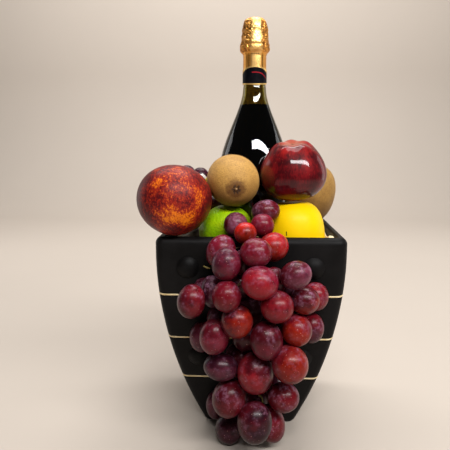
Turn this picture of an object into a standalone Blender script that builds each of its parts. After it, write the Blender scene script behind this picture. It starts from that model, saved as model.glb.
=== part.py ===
"""Fruit arrangement with wine.

A square black pot with curved tapering sides stands on its base. Crumpled paper fills it, a bottle
of sparkling wine stands in the paper, and fruit is heaped round the bottle. A bunch of large
grapes hangs over the front of the rim down to the ground.
Units are metres, +Z is up, -Y is the front, and the origin is the middle of the pot's underside.
"""
import math
from collections import namedtuple

import bmesh
import bpy
from mathutils import Matrix, Vector, noise

# Clearances
GAP = 0.0003
SNUG = 0.0005

# Pot
POT_HEIGHT = 0.207
POT_HALF = 0.0905
BASE_HALF = 0.047
FULL_WIDTH_HEIGHT = 0.190
FLARE_POWER = 1.85
WALL = 0.009
CORNER_RADIUS = 0.009
BASE_CORNER_RADIUS = 0.0055
INNER_CORNER_RADIUS = 0.003
RIM_OUTER_ROUND = 0.0065
RIM_INNER_ROUND = 0.002
CORNER_STEPS = 3
LINE_HEIGHTS = {"line_upper": 0.1512, "line_middle": 0.1062, "line_lower": 0.0602}
GROOVE_TALL = 0.0021
GROOVE_DEEP = 0.0011
LINE_TALL = 0.0015
LINE_PROUD = 0.0003
STUD_RADIUS = 0.0105
STUD_RISE = 0.0048
STUD_ROWS = {"upper": (0.0590, 0.1787), "lower": (0.0510, 0.0845)}

# Bottle
BOTTLE_X = 0.003
BOTTLE_Y = 0.018
BOTTLE_BASE = 0.110
BODY_RADIUS = 0.040
HEEL_ROUND = 0.006
GLASS_WALL = 0.0032
SHOULDER_START = 0.2543
SHOULDER_END = 0.355
SHOULDER_PULL_LOW = 0.0426
SHOULDER_PULL_HIGH = 0.0253
NECK_RADIUS = 0.0126
SLEEVED_NECK_RADIUS = 0.0118
BORE_RADIUS = 0.0090
COLLAR_RADIUS = 0.0142
COLLAR_LOW = 0.3975
COLLAR_TOP = 0.4045
MOUTH = 0.4075
WINE_LEVEL = 0.3365
TURN_STEPS = 18

# Foil over the cork, and the label round the neck
FOIL_TOP = 0.4285
FOIL_DOME_RADIUS = 0.0141
FOIL_RING_RADIUS = 0.0167
FOIL_RING_HEIGHT = 0.3955
FOIL_SLEEVE_RADIUS = 0.0126
FOIL_THICK = 0.0005
FOIL_LOW = 0.3620
CORK_RADIUS = 0.0086
CORK_LOW = 0.3860
LABEL_RADIUS = 0.0132
LABEL_LOW = 0.3595
LABEL_TOP = 0.3722
LABEL_TOP_ARCH = 0.0045
LABEL_LOW_ARCH = 0.0022

# Paper filling
FILL_LEVEL = 0.196
FILL_CRUMPLE = 0.0030
FILL_WAVE = 0.016
# Where the paper is heaped or pressed down: rise, place and spread
FILL_HEAPS = ((0.0056, (0.074, -0.060), 0.028), (-0.0100, (-0.056, -0.034), 0.028))

# Front view that the grapes' places are read on: a square 450 units wide, seen from EYE
EYE = Vector((0.0, -0.548, 0.288))
VIEW_MIDDLE = 225.0
VIEW_FOCAL = 500.0
VIEW_HORIZON = 150.0
VIEW_AHEAD = 251.3

# Front bunch
GRAPE_SIDES = 2
HIDDEN_SIDES = 1
GRAPE_SWELL = 1.03
HIDDEN_SWELL = 1.12
TOUCH = 0.93
SLIDE = 0.0005
STALK_RADIUS = 0.0036
PEDICEL_RADIUS = 0.0016
PEDICEL_FROM = 0.0170
STALK = (
    (0.006, -0.062, 0.2230), (0.004, -0.076, 0.2190), (0.002, -0.090, 0.2135), (0.003, -0.106, 0.2000),
    (0.004, -0.116, 0.1760), (0.003, -0.114, 0.1500), (0.001, -0.112, 0.1250), (0.002, -0.106, 0.1000),
    (0.004, -0.098, 0.0750), (0.005, -0.094, 0.0500), (0.005, -0.097, 0.0320),
)

Fruit = namedtuple("Fruit", "name centre size turn form colour rough")
Form = namedtuple("Form", "taper top_dimple base_dimple tips lobes square")
Grape = namedtuple("Grape", "across down wide tall lean")
Ball = namedtuple("Ball", "centre size turn")

PLAIN = Form(taper=0.0, top_dimple=0.0, base_dimple=0.0, tips=0.0, lobes=0.0, square=2.0)

FRUITS = (
    Fruit("nectarine", (-0.0725, -0.0780, 0.2410), (0.0716, 0.0700, 0.0664), (-24, 14, 30),
          PLAIN._replace(top_dimple=0.12, tips=0.03, taper=0.02), (0.45, 0.08, 0.03), 0.5),
    Fruit("kiwifruit_front", (-0.0178, -0.0550, 0.2585), (0.0512, 0.0492, 0.0600), (103, 0, 8),
          PLAIN._replace(square=2.2), (0.42, 0.25, 0.08), 0.9),
    Fruit("kiwifruit_back", (0.0715, 0.0420, 0.2375), (0.0520, 0.0500, 0.0690), (4, 12, 0),
          PLAIN._replace(square=2.2), (0.36, 0.24, 0.08), 0.9),
    Fruit("green_citrus", (-0.0254, -0.0500, 0.2085), (0.0500, 0.0500, 0.0540), (20, 62, 0),
          PLAIN._replace(tips=0.06), (0.35, 0.62, 0.02), 0.45),
    Fruit("red_pome", (0.0414, -0.0470, 0.2684), (0.0650, 0.0650, 0.0608), (194, -9, 20),
          PLAIN._replace(taper=0.165, top_dimple=0.30, base_dimple=0.14, lobes=0.055),
          (0.30, 0.01, 0.02), 0.2),
    Fruit("yellow_pome", (0.0438, -0.0490, 0.2004), (0.0612, 0.0612, 0.0747), (0, -4, 0),
          PLAIN._replace(taper=-0.044, top_dimple=0.03, square=2.9), (0.95, 0.72, 0.01), 0.35),
)

# Grapes hidden against the pot, low to high
HIDDEN_GRAPES = (
    Grape(254, 400, 28, 30, 0), Grape(244, 380, 28, 30, 0),
    Grape(275, 384, 28, 30, 0), Grape(240, 356, 30, 30, 0), Grape(270, 356, 30, 32, 0),
    Grape(246, 336, 28, 30, 0), Grape(285, 340, 28, 30, 0), Grape(221, 318, 28, 32, 0),
    Grape(250, 308, 30, 32, 0), Grape(240, 284, 28, 30, 0), Grape(283, 290, 28, 30, 0),
    Grape(245, 262, 26, 28, 0),
)

# Grapes lying on the rim, back to front
RIM_GRAPES = (
    Grape(265.3, 211.0, 29, 24, -12), Grape(262.4, 225.0, 24, 24, 0), Grape(235.7, 223.9, 24, 25, 12),
    Grape(245.4, 232.7, 23, 22.5, 0),
)

# Grapes hanging in front of the pot, back to front
FRONT_GRAPES = (
    Grape(221.3, 250.5, 29, 35, 24), Grape(273.0, 246.4, 31, 29, -30), Grape(274.0, 281.0, 24, 30, 0),
    Grape(204.0, 290.0, 23, 26, 0), Grape(212.5, 291.0, 23, 34, -6), Grape(295.5, 274.5, 33, 28.5, -24),
    Grape(315.5, 295.7, 26, 29, 0), Grape(311.5, 327.0, 25, 31, 0), Grape(202.0, 336.0, 25, 31, 0),
    Grape(216.0, 404.0, 20, 30, 0), Grape(229.0, 427.5, 27, 31, 0), Grape(270.6, 422.4, 28, 40, -12),
    Grape(283.3, 396.5, 32, 30, 0), Grape(220.8, 366.0, 35, 28, 8), Grape(289.8, 363.5, 36.5, 39, -10),
    Grape(296.3, 329.0, 31, 33, -10), Grape(305.0, 299.5, 29.5, 29, 0), Grape(226.6, 263.0, 30, 34.5, 10),
    Grape(191.5, 300.5, 28.5, 35, 10), Grape(256.2, 252.0, 32.5, 30, 0), Grape(214.6, 335.5, 30, 37.5, 8),
    Grape(229.4, 397.3, 34, 39.5, 12), Grape(254.6, 421.4, 34.5, 44, 0), Grape(255.3, 372.0, 36, 43, -6),
    Grape(237.0, 320.5, 32, 34, 0), Grape(226.6, 295.6, 29.5, 32.5, 0), Grape(277.3, 306.0, 33.5, 33, 0),
    Grape(260.1, 282.0, 37.8, 34.5, 14), Grape(266.3, 339.6, 33, 40, -6),
)

# Small dark grapes heaped behind the nectarine, over an oval core
HEAP_GRAPE = 0.0092
HEAP_TRIES = 260
HEAP_CORE = Vector((0.0112, 0.0230, 0.0290))
HEAP_MIDDLE = Vector((-0.0625, 0.0080, 0.2300))
HEAP_LOWEST = 0.2020
HEAP_SHOWN = ((187.0, 173.0, 0.0000), (200.4, 175.2, 0.0040), (213.0, 203.0, -0.0190),
              (203.0, 203.0, -0.0110))


def clear_scene():
    """Remove every object that is in the file."""
    for old in list(bpy.data.objects):
        bpy.data.objects.remove(old, do_unlink=True)


def new_collection(name):
    group = bpy.data.collections.new(name)
    bpy.context.scene.collection.children.link(group)
    return group


def finish_of(name, colour, rough, metal=0.0, clear=0.0):
    """A Principled material of one colour."""
    material = bpy.data.materials.new(name)
    material.use_nodes = True
    shader = material.node_tree.nodes["Principled BSDF"]
    shader.inputs["Base Color"].default_value = (*colour, 1.0)
    shader.inputs["Roughness"].default_value = rough
    shader.inputs["Metallic"].default_value = metal
    shader.inputs["Transmission Weight"].default_value = clear
    return material


def add_object(name, shape, material, group, smooth=True):
    """Put a bmesh into a named object, with its faces pointing out."""
    bmesh.ops.recalc_face_normals(shape, faces=shape.faces)
    if shape.calc_volume(signed=True) < 0.0:
        bmesh.ops.reverse_faces(shape, faces=shape.faces)
    mesh = bpy.data.meshes.new(name)
    shape.to_mesh(mesh)
    shape.free()
    if smooth:
        mesh.shade_smooth()
        mesh.set_sharp_from_angle(angle=math.radians(40))
    made = bpy.data.objects.new(name, mesh)
    made.data.materials.append(material)
    group.objects.link(made)
    return made


def loft(rings, closed=False):
    """Join rings of equal length with quads; open ends get a cap, or the last ring meets the first."""
    shape = bmesh.new()
    rows = [[shape.verts.new(point) for point in ring] for ring in rings]
    pairs = list(zip(rows, rows[1:]))
    if closed:
        pairs.append((rows[-1], rows[0]))
    else:
        shape.faces.new(rows[0])
        shape.faces.new(rows[-1])
    for low, high in pairs:
        for here in range(len(low)):
            there = (here + 1) % len(low)
            shape.faces.new((low[here], low[there], high[there], high[here]))
    return shape


def square_ring(half, radius, height):
    """A square outline with round corners, level at the given height."""
    ring = []
    for corner in range(4):
        middle = math.radians(45 + 90 * corner)
        centre_x = math.copysign(half - radius, math.cos(middle))
        centre_y = math.copysign(half - radius, math.sin(middle))
        for step in range(CORNER_STEPS + 1):
            angle = math.radians(90 * corner + 90 * step / CORNER_STEPS)
            ring.append((centre_x + radius * math.cos(angle), centre_y + radius * math.sin(angle), height))
    return ring


def turned(name, outline, place, material, group, steps=TURN_STEPS):
    """Spin an outline of (radius, height), outer side top to bottom, round its axis."""
    mesh = bpy.data.meshes.new(name)
    points = [(radius, 0.0, height) for radius, height in outline]
    mesh.from_pydata(points, [(end, end + 1) for end in range(len(points) - 1)], [])
    made = bpy.data.objects.new(name, mesh)
    made.location = place
    spin = made.modifiers.new("turn", "SCREW")
    spin.steps = steps
    spin.render_steps = steps
    spin.use_merge_vertices = True
    spin.merge_threshold = 0.00005
    made.data.materials.append(material)
    group.objects.link(made)
    return made


def pot_half(height):
    """Half the pot's width: full near the rim, drawn in to the base on a smooth curve."""
    down = max(0.0, 1.0 - height / FULL_WIDTH_HEIGHT)
    return POT_HALF - (POT_HALF - BASE_HALF) * down ** FLARE_POWER


def pot_inner_half(height):
    return pot_half(height) - WALL


def corner_radius(height):
    """Radius of the pot's upright edges, which tighten towards the base."""
    share = min(1.0, height / FULL_WIDTH_HEIGHT)
    return BASE_CORNER_RADIUS + (CORNER_RADIUS - BASE_CORNER_RADIUS) * share


def make_pot(material, group):
    """The pot: from the inner floor up the inside, over the rounded rim and down the outside."""
    rings = []
    for height in (WALL, 0.040, 0.080, 0.125, 0.170):
        rings.append(square_ring(pot_inner_half(height), INNER_CORNER_RADIUS, height))
    for step in range(3):
        angle = math.radians(90 * step / 2)
        half = POT_HALF - WALL + RIM_INNER_ROUND * (1 - math.cos(angle))
        height = POT_HEIGHT - RIM_INNER_ROUND * (1 - math.sin(angle))
        rings.append(square_ring(half, INNER_CORNER_RADIUS + half - POT_HALF + WALL, height))
    for step in range(4):
        angle = math.radians(90 * step / 3)
        inset = RIM_OUTER_ROUND * (1 - math.sin(angle))
        height = POT_HEIGHT - RIM_OUTER_ROUND * (1 - math.cos(angle))
        rings.append(square_ring(POT_HALF - inset, CORNER_RADIUS - inset, height))
    outside = [0.190, 0.174, 0.130, 0.082, 0.040, 0.020, 0.0025]
    sections = [(height, 0.0) for height in outside]
    for line in LINE_HEIGHTS.values():
        for side in (1, -1):
            sections.append((line + side * GROOVE_TALL / 2, 0.0))
            sections.append((line + side * (GROOVE_TALL / 2 - 0.00002), GROOVE_DEEP))
    for height, inset in sorted(sections, reverse=True):
        rings.append(square_ring(pot_half(height) - inset, corner_radius(height) - inset, height))
    foot_inset = 0.002
    rings.append(square_ring(BASE_HALF - foot_inset, BASE_CORNER_RADIUS - foot_inset, 0.0))
    return add_object("pot", loft(rings), material, group)


def make_line(name, height, material, group):
    """A pale band laid in the groove that runs round the pot."""
    back = GROOVE_DEEP - GAP
    outline = ((-back, 0.5), (LINE_PROUD, 0.4), (LINE_PROUD, -0.4), (-back, -0.5))
    rings = []
    for out, up in outline:
        level = height + up * LINE_TALL
        rings.append(square_ring(pot_half(level) + out, corner_radius(level) + out, level))
    return add_object(name, loft(rings, closed=True), material, group)


def make_stud(name, across, height, material, group):
    """A low dome on the pot's front face, set to the slope of the wall."""
    arc_radius = (STUD_RADIUS ** 2 + STUD_RISE ** 2) / (2 * STUD_RISE)
    half_angle = math.asin(STUD_RADIUS / arc_radius)
    outline = []
    for step in range(5):
        angle = half_angle * step / 4
        outline.append((arc_radius * math.sin(angle), STUD_RISE - arc_radius * (1 - math.cos(angle))))
    outline.append((0.0, 0.0))
    stud = turned(name, outline, (across, -pot_half(height) - SNUG, height), material, group, steps=12)
    slope = math.atan2(pot_half(height + STUD_RADIUS) - pot_half(height - STUD_RADIUS), 2 * STUD_RADIUS)
    stud.rotation_euler = (math.radians(90) + slope, 0.0, 0.0)
    return stud


def shoulder(share):
    """Radius and height on the bottle's shoulder, a cubic curve from body to neck."""
    back = 1.0 - share
    radius = BODY_RADIUS * (back ** 3 + 3 * back ** 2 * share)
    radius += NECK_RADIUS * (3 * back * share ** 2 + share ** 3)
    height = SHOULDER_START * back ** 3 + (SHOULDER_START + SHOULDER_PULL_LOW) * 3 * back ** 2 * share
    height += (SHOULDER_END - SHOULDER_PULL_HIGH) * 3 * back * share ** 2 + SHOULDER_END * share ** 3
    return radius, height


def body_outline():
    """The bottle's outer side from the end of the shoulder down to the heel."""
    outline = [shoulder(1.0 - step / 7) for step in range(8)]
    outline.append((BODY_RADIUS, 0.180))
    for step in range(3):
        angle = math.radians(45 * step)
        inset = HEEL_ROUND * (1 - math.cos(angle))
        outline.append((BODY_RADIUS - inset, BOTTLE_BASE + HEEL_ROUND * (1 - math.sin(angle))))
    return outline


def inside_of(outline, wall):
    """The same outline moved in by the wall, and up from the base by the wall."""
    return [(max(radius - wall, 0.001), max(height, BOTTLE_BASE + wall)) for radius, height in outline]


def make_bottle(glass, wine, group):
    """The glass with its open mouth, and the wine that fills it to the lower neck."""
    place = (BOTTLE_X, BOTTLE_Y, 0.0)
    neck = [
        (BORE_RADIUS + 0.0010, MOUTH), (SLEEVED_NECK_RADIUS, MOUTH - 0.001), (COLLAR_RADIUS, COLLAR_TOP),
        (COLLAR_RADIUS, COLLAR_LOW), (SLEEVED_NECK_RADIUS, COLLAR_LOW - 0.001),
        (SLEEVED_NECK_RADIUS, FOIL_LOW), (NECK_RADIUS, LABEL_LOW - 0.003),
    ]
    body = body_outline()
    outer = neck + body + [(0.0, BOTTLE_BASE)]
    inner = inside_of(body, GLASS_WALL)
    bore = [(BORE_RADIUS, MOUTH - 0.001), (BORE_RADIUS, LABEL_LOW)]
    outline = [*outer, (0.0, BOTTLE_BASE + GLASS_WALL), *reversed(inner), *reversed(bore), outer[0]]
    turned("bottle_glass", outline, place, glass, group)
    drink = [point for point in inside_of(body, GLASS_WALL + SNUG) if point[1] < WINE_LEVEL - 0.003]
    level_radius = 0.0150 - GLASS_WALL - SNUG
    outline = [(0.0, WINE_LEVEL), (level_radius, WINE_LEVEL), *drink, (0.0, BOTTLE_BASE + GLASS_WALL + SNUG)]
    turned("wine", outline, place, wine, group)


def make_foil(material, group):
    """Cork, cage and foil as one cap: a dome, a bulge over the wire ring, and a plain sleeve."""
    outline = []
    for step in range(5):
        angle = math.radians(90 * step / 4)
        outline.append((FOIL_DOME_RADIUS * math.sin(angle) ** 0.7, FOIL_TOP - 0.0085 * (1 - math.cos(angle))))
    outline += [
        (FOIL_DOME_RADIUS + 0.0006, 0.4100), (FOIL_RING_RADIUS - 0.0008, 0.4020),
        (FOIL_RING_RADIUS, FOIL_RING_HEIGHT), (FOIL_RING_RADIUS - 0.0014, 0.3925),
        (FOIL_SLEEVE_RADIUS, 0.3900), (FOIL_SLEEVE_RADIUS, FOIL_LOW),
    ]
    collar_room = COLLAR_RADIUS + GAP
    sleeve_inside = FOIL_SLEEVE_RADIUS - FOIL_THICK
    outline += [
        (sleeve_inside, FOIL_LOW), (sleeve_inside, COLLAR_LOW - 0.002), (collar_room, COLLAR_LOW - 0.0005),
        (collar_room, MOUTH + GAP), (CORK_RADIUS, MOUTH + GAP), (CORK_RADIUS, CORK_LOW), (0.0, CORK_LOW),
    ]
    turned("bottle_foil", outline, (BOTTLE_X, BOTTLE_Y, 0.0), material, group)


def make_neck_label(material, group):
    """A paper band whose upper edge rises, and whose lower edge dips, at the front."""
    inside = FOIL_SLEEVE_RADIUS + GAP
    corners = ((inside, 1), (LABEL_RADIUS, 1), (LABEL_RADIUS, 0), (inside, 0))
    rings = []
    for radius, upper in corners:
        ring = []
        for step in range(TURN_STEPS):
            angle = 2 * math.pi * step / TURN_STEPS
            front = 0.5 - 0.5 * math.sin(angle)
            top = LABEL_TOP + LABEL_TOP_ARCH * front ** 2
            low = LABEL_LOW - LABEL_LOW_ARCH * front ** 2
            ring.append((BOTTLE_X + radius * math.cos(angle), BOTTLE_Y + radius * math.sin(angle),
                         top if upper else low))
        rings.append(ring)
    return add_object("neck_label", loft(rings, closed=True), material, group)


def fruit_point(unit, form):
    """Where a point of the unit sphere goes on a fruit of unit half-size, its eye end up."""
    across = math.hypot(unit.x, unit.y)
    around = math.atan2(unit.y, unit.x)
    fullness = (abs(across) ** form.square + abs(unit.z) ** form.square) ** (-1 / form.square)
    wide = across * fullness * (1 + form.taper * unit.z)
    tall = unit.z * fullness * (1 + form.tips * abs(unit.z) ** 10)
    from_top = math.acos(max(-1.0, min(1.0, unit.z)))
    tall -= form.top_dimple * math.exp(-(from_top / 0.38) ** 2)
    from_base = math.pi - from_top
    tall += form.base_dimple * math.exp(-(from_base / 0.34) ** 2)
    crown = math.exp(-((from_base - 0.62) / 0.30) ** 2)
    tall -= form.lobes * crown * (0.5 + 0.5 * math.cos(5 * around))
    return Vector((wide * math.cos(around), wide * math.sin(around), tall))


def fruit_turn(turn):
    """Rotation from three angles in degrees, about X, then Y, then Z."""
    turned_x, turned_y, turned_z = (math.radians(angle) for angle in turn)
    spin_z = Matrix.Rotation(turned_z, 3, "Z")
    return spin_z @ Matrix.Rotation(turned_y, 3, "Y") @ Matrix.Rotation(turned_x, 3, "X")


def fruit_shape(fruit, swell=0.0):
    """A round fruit's closed surface in place, its size grown by swell all round."""
    shape = bmesh.new()
    bmesh.ops.create_uvsphere(shape, u_segments=18, v_segments=11, radius=1.0)
    rotation = fruit_turn(fruit.turn)
    half = Vector(fruit.size) / 2 + Vector((swell, swell, swell))
    for vertex in shape.verts:
        local = fruit_point(vertex.co.normalized(), fruit.form) * half
        vertex.co = rotation @ local + Vector(fruit.centre)
    return shape


def make_fruits(group):
    for fruit in FRUITS:
        skin = finish_of(fruit.name, fruit.colour, fruit.rough)
        add_object(fruit.name, fruit_shape(fruit), skin, group)


def fruit_ball(fruit):
    """A fruit as a plain ellipsoid round its fullest corners, for keeping grapes clear of it."""
    fullness = 2.0 ** (0.5 - 1.0 / fruit.form.square)
    return Ball(Vector(fruit.centre), Vector(fruit.size) / 2 * fullness, fruit_turn(fruit.turn))


def paper_heap(x, y):
    """How far the paper is heaped up at the front right corner, and sunk between the left fruit."""
    return sum(rise * math.exp(-((x - place[0]) ** 2 + (y - place[1]) ** 2) / spread ** 2)
               for rise, place, spread in FILL_HEAPS)


def paper_height(x, y):
    """Height of the crumpled paper: two sharp-creased waves of noise on the heap."""
    coarse = abs(noise.noise(Vector((x / FILL_WAVE, y / FILL_WAVE, 0.3))))
    fine = abs(noise.noise(Vector((x / FILL_WAVE * 2.1, y / FILL_WAVE * 2.1, 4.7))))
    return FILL_LEVEL + paper_heap(x, y) + FILL_CRUMPLE * (1.6 * coarse + 0.9 * fine)


def make_filling(material, group, cutters):
    """The paper filling: the pot's inside up to a crumpled top, with a place pressed for each piece."""
    rings = []
    for height in (WALL + GAP, 0.040, 0.080, 0.125, 0.170, FILL_LEVEL - 0.002):
        half = pot_inner_half(height) - SNUG
        rings.append(square_ring(half, INNER_CORNER_RADIUS, height))
    rings[-1] = [(x, y, height + paper_heap(x, y)) for x, y, height in rings[-1]]
    for share in (0.97, 0.84, 0.70, 0.55, 0.38, 0.20):
        ring = square_ring(half * share, INNER_CORNER_RADIUS, FILL_LEVEL)
        rings.append([(x, y, paper_height(x, y)) for x, y, height in ring])
    filling = add_object("paper_filling", loft(rings), material, group, smooth=False)
    bottle = bmesh.new()
    bmesh.ops.create_cone(bottle, cap_ends=True, segments=TURN_STEPS, depth=0.2,
                          radius1=BODY_RADIUS + 0.0008, radius2=BODY_RADIUS + 0.0008)
    bmesh.ops.translate(bottle, verts=bottle.verts, vec=(BOTTLE_X, BOTTLE_Y, BOTTLE_BASE - GAP + 0.1))
    plain = finish_of("cutter", (0.8, 0.8, 0.8), 0.5)
    shapes = {"cut_bottle": bottle}
    for fruit in FRUITS:
        shapes["cut_" + fruit.name] = fruit_shape(fruit, swell=GAP * 1.5)
    for name, shape in shapes.items():
        cutter = add_object(name, shape, plain, cutters)
        cutter.hide_render = True
        cutter.display_type = "WIRE"
        cut = filling.modifiers.new(name, "BOOLEAN")
        cut.operation = "DIFFERENCE"
        cut.solver = "EXACT"
        cut.object = cutter
    return filling


def sight(across, down, depth):
    """The point seen at (across, down) in the front view whose Y is depth, and metres a view unit."""
    tilt = math.atan((VIEW_MIDDLE - VIEW_HORIZON) / VIEW_FOCAL)
    swing = math.atan((VIEW_AHEAD - VIEW_MIDDLE) * math.cos(tilt) / VIEW_FOCAL)
    ahead = Vector((-math.sin(swing) * math.cos(tilt), math.cos(swing) * math.cos(tilt), -math.sin(tilt)))
    right = Vector((math.cos(swing), math.sin(swing), 0.0))
    ray = ahead * VIEW_FOCAL + right * (across - VIEW_MIDDLE) - right.cross(ahead) * (down - VIEW_MIDDLE)
    point = EYE + ray * ((depth - EYE.y) / ray.y)
    return point, (point - EYE).dot(ahead) / VIEW_FOCAL


def grape_ball(grape, depth):
    centre, unit = sight(grape.across, grape.down, depth)
    size = Vector((grape.wide, min(grape.wide, grape.tall), grape.tall)) * unit / 2
    return Ball(centre, size, Matrix.Rotation(math.radians(grape.lean), 3, "Y"))


def reach(ball, direction):
    """How far an ellipsoid reaches from its middle in a direction."""
    local = ball.turn.transposed() @ direction.normalized()
    return 1.0 / math.sqrt(sum((local[axis] / ball.size[axis]) ** 2 for axis in range(3)))


def apart(one, other, touch):
    """Whether two ellipsoids are at least touch times their reaches apart."""
    between = other.centre - one.centre
    return between.length >= touch * (reach(one, between) + reach(other, between))


def wall_outline():
    """Points (y, z) down the front wall: up its inside, over the rim and down its outside."""
    steps = range(0, int(POT_HEIGHT * 1000), 4)
    outside = [(-pot_half(step / 1000), step / 1000) for step in steps]
    inside = [(-pot_inner_half(height), height) for depth, height in outside if height > FILL_LEVEL - 0.02]
    rim = [(-POT_HALF + 0.0045, POT_HEIGHT), (-POT_HALF + 0.0030, POT_HEIGHT - 0.0005)]
    rim += [(-POT_HALF + 0.0070, POT_HEIGHT), (-POT_HALF, POT_HEIGHT - 0.0045)]
    return outside + rim + inside


def settle(grapes, start, swell, placed, solid, wall):
    """Slide each grape along its sight line towards the eye until it is clear of all that is there."""
    for grape in grapes:
        depth = start if start is not None else -POT_HALF + 0.03
        while True:
            ball = grape_ball(grape, depth)
            radius = max(ball.size.x, ball.size.y) * swell
            clear = all(math.hypot(ball.centre.y - y, ball.centre.z - z) > radius + SNUG for y, z in wall)
            clear = clear and (start is not None or ball.centre.y < -pot_half(ball.centre.z))
            clear = clear and ball.centre.z - reach(ball, Vector((0, 0, 1))) * swell > SNUG
            clear = clear and all(apart(ball, other, swell) for other in solid)
            clear = clear and all(apart(ball, other, TOUCH) for other in placed)
            if clear:
                break
            depth -= SLIDE
        placed.append(ball)


def front_bunch():
    """The hanging bunch's grapes in place: those hidden behind, and those that show."""
    solid = [fruit_ball(fruit) for fruit in FRUITS]
    for across, height in STUD_ROWS.values():
        for side in (-1, 1):
            centre = Vector((side * across, -pot_half(height), height))
            solid.append(Ball(centre, Vector((STUD_RADIUS, STUD_RISE, STUD_RADIUS)), Matrix.Identity(3)))
    wall = wall_outline()
    placed = []
    settle(HIDDEN_GRAPES, None, HIDDEN_SWELL, placed, solid, wall)
    settle(RIM_GRAPES, -0.060, GRAPE_SWELL, placed, solid, wall)
    settle(FRONT_GRAPES, None, GRAPE_SWELL, placed, solid, wall)
    return placed[:len(HIDDEN_GRAPES)], placed[len(HIDDEN_GRAPES):]


def ball_shape(ball, sides=GRAPE_SIDES, swell=GRAPE_SWELL):
    """A grape with few sides, swollen so that its flat faces average the round skin."""
    shape = bmesh.new()
    bmesh.ops.create_icosphere(shape, subdivisions=sides, radius=swell)
    for vertex in shape.verts:
        vertex.co = ball.turn @ (vertex.co * ball.size) + ball.centre
    return shape


def tube_shape(points, radius):
    """A thin round stalk along points, with closed ends."""
    path = bpy.data.curves.new("stalk", "CURVE")
    path.dimensions = "3D"
    path.bevel_depth = radius
    path.bevel_resolution = 0
    path.use_fill_caps = True
    line = path.splines.new("POLY")
    line.points.add(len(points) - 1)
    for place, point in zip(line.points, points):
        place.co = (*point, 1.0)
    guide = bpy.data.objects.new("stalk", path)
    bpy.context.scene.collection.objects.link(guide)
    bpy.context.view_layer.update()
    mesh = bpy.data.meshes.new_from_object(guide.evaluated_get(bpy.context.evaluated_depsgraph_get()))
    bpy.data.objects.remove(guide, do_unlink=True)
    shape = bmesh.new()
    shape.from_mesh(mesh)
    bmesh.ops.remove_doubles(shape, verts=shape.verts, dist=0.00005)
    return shape


def stalk_shapes(shown):
    """The main stalk down the bunch, and a short one to each grape that hangs away from it."""
    nodes = [Vector(point) for point in STALK]
    shapes = [tube_shape(nodes, STALK_RADIUS)]
    for ball in shown:
        nearest = min(nodes, key=lambda node: (node - ball.centre).length)
        if (nearest - ball.centre).length > PEDICEL_FROM:
            shapes.append(tube_shape((nearest, ball.centre), PEDICEL_RADIUS))
    return shapes


def heap_balls():
    """Small grapes set on the core along a spiral from the top down, each where it finds room."""
    solid = [fruit_ball(fruit) for fruit in FRUITS]
    balls = []
    for across, down, depth in HEAP_SHOWN:
        centre = sight(across, down, depth)[0]
        balls.append(Ball(centre, Vector((1, 1, 1)) * HEAP_GRAPE, Matrix.Identity(3)))
    for number in range(HEAP_TRIES):
        rise = 1.0 - 2.0 * (number + 0.5) / HEAP_TRIES
        around = number * math.pi * (3.0 - math.sqrt(5.0))
        ring = math.sqrt(1.0 - rise * rise)
        spot = Vector((ring * math.cos(around), ring * math.sin(around), rise))
        centre = HEAP_MIDDLE + spot * HEAP_CORE
        radius = HEAP_GRAPE * (1.0 + 0.06 * math.sin(7.3 * number))
        ball = Ball(centre, Vector((1, 1, 1)) * radius, Matrix.Identity(3))
        over_rim = centre.z > POT_HEIGHT + radius + SNUG
        inside = abs(centre.x) + radius * GRAPE_SWELL + SNUG < pot_inner_half(POT_HEIGHT)
        clear = centre.z > HEAP_LOWEST + radius and (over_rim or inside)
        from_bottle = math.hypot(centre.x - BOTTLE_X, centre.y - BOTTLE_Y)
        clear = clear and from_bottle > BODY_RADIUS + radius * GRAPE_SWELL + SNUG
        clear = clear and all(apart(ball, other, 1.04) for other in solid)
        if clear and all(apart(ball, other, 0.97) for other in balls):
            balls.append(ball)
    return balls


def heap_shapes():
    core = Ball(HEAP_MIDDLE, HEAP_CORE, Matrix.Identity(3))
    return [ball_shape(ball) for ball in [core, *heap_balls()]]


def fuse(name, shapes, material, group):
    """Join closed shapes into one solid with one Boolean union, then drop the shapes."""
    pieces = new_collection(name + "_pieces")
    for number, shape in enumerate(shapes):
        add_object(f"{name}_piece_{number}", shape, material, pieces)
    first = pieces.objects[0]
    pieces.objects.unlink(first)
    group.objects.link(first)
    union = first.modifiers.new("fuse", "BOOLEAN")
    union.operation = "UNION"
    union.operand_type = "COLLECTION"
    union.solver = "MANIFOLD"
    union.collection = pieces
    bpy.context.view_layer.update()
    evaluated = first.evaluated_get(bpy.context.evaluated_depsgraph_get())
    mesh = bpy.data.meshes.new_from_object(evaluated)
    for old in [*pieces.objects, first]:
        bpy.data.objects.remove(old, do_unlink=True)
    bpy.data.collections.remove(pieces)
    mesh.name = name
    made = bpy.data.objects.new(name, mesh)
    group.objects.link(made)
    return made


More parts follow.
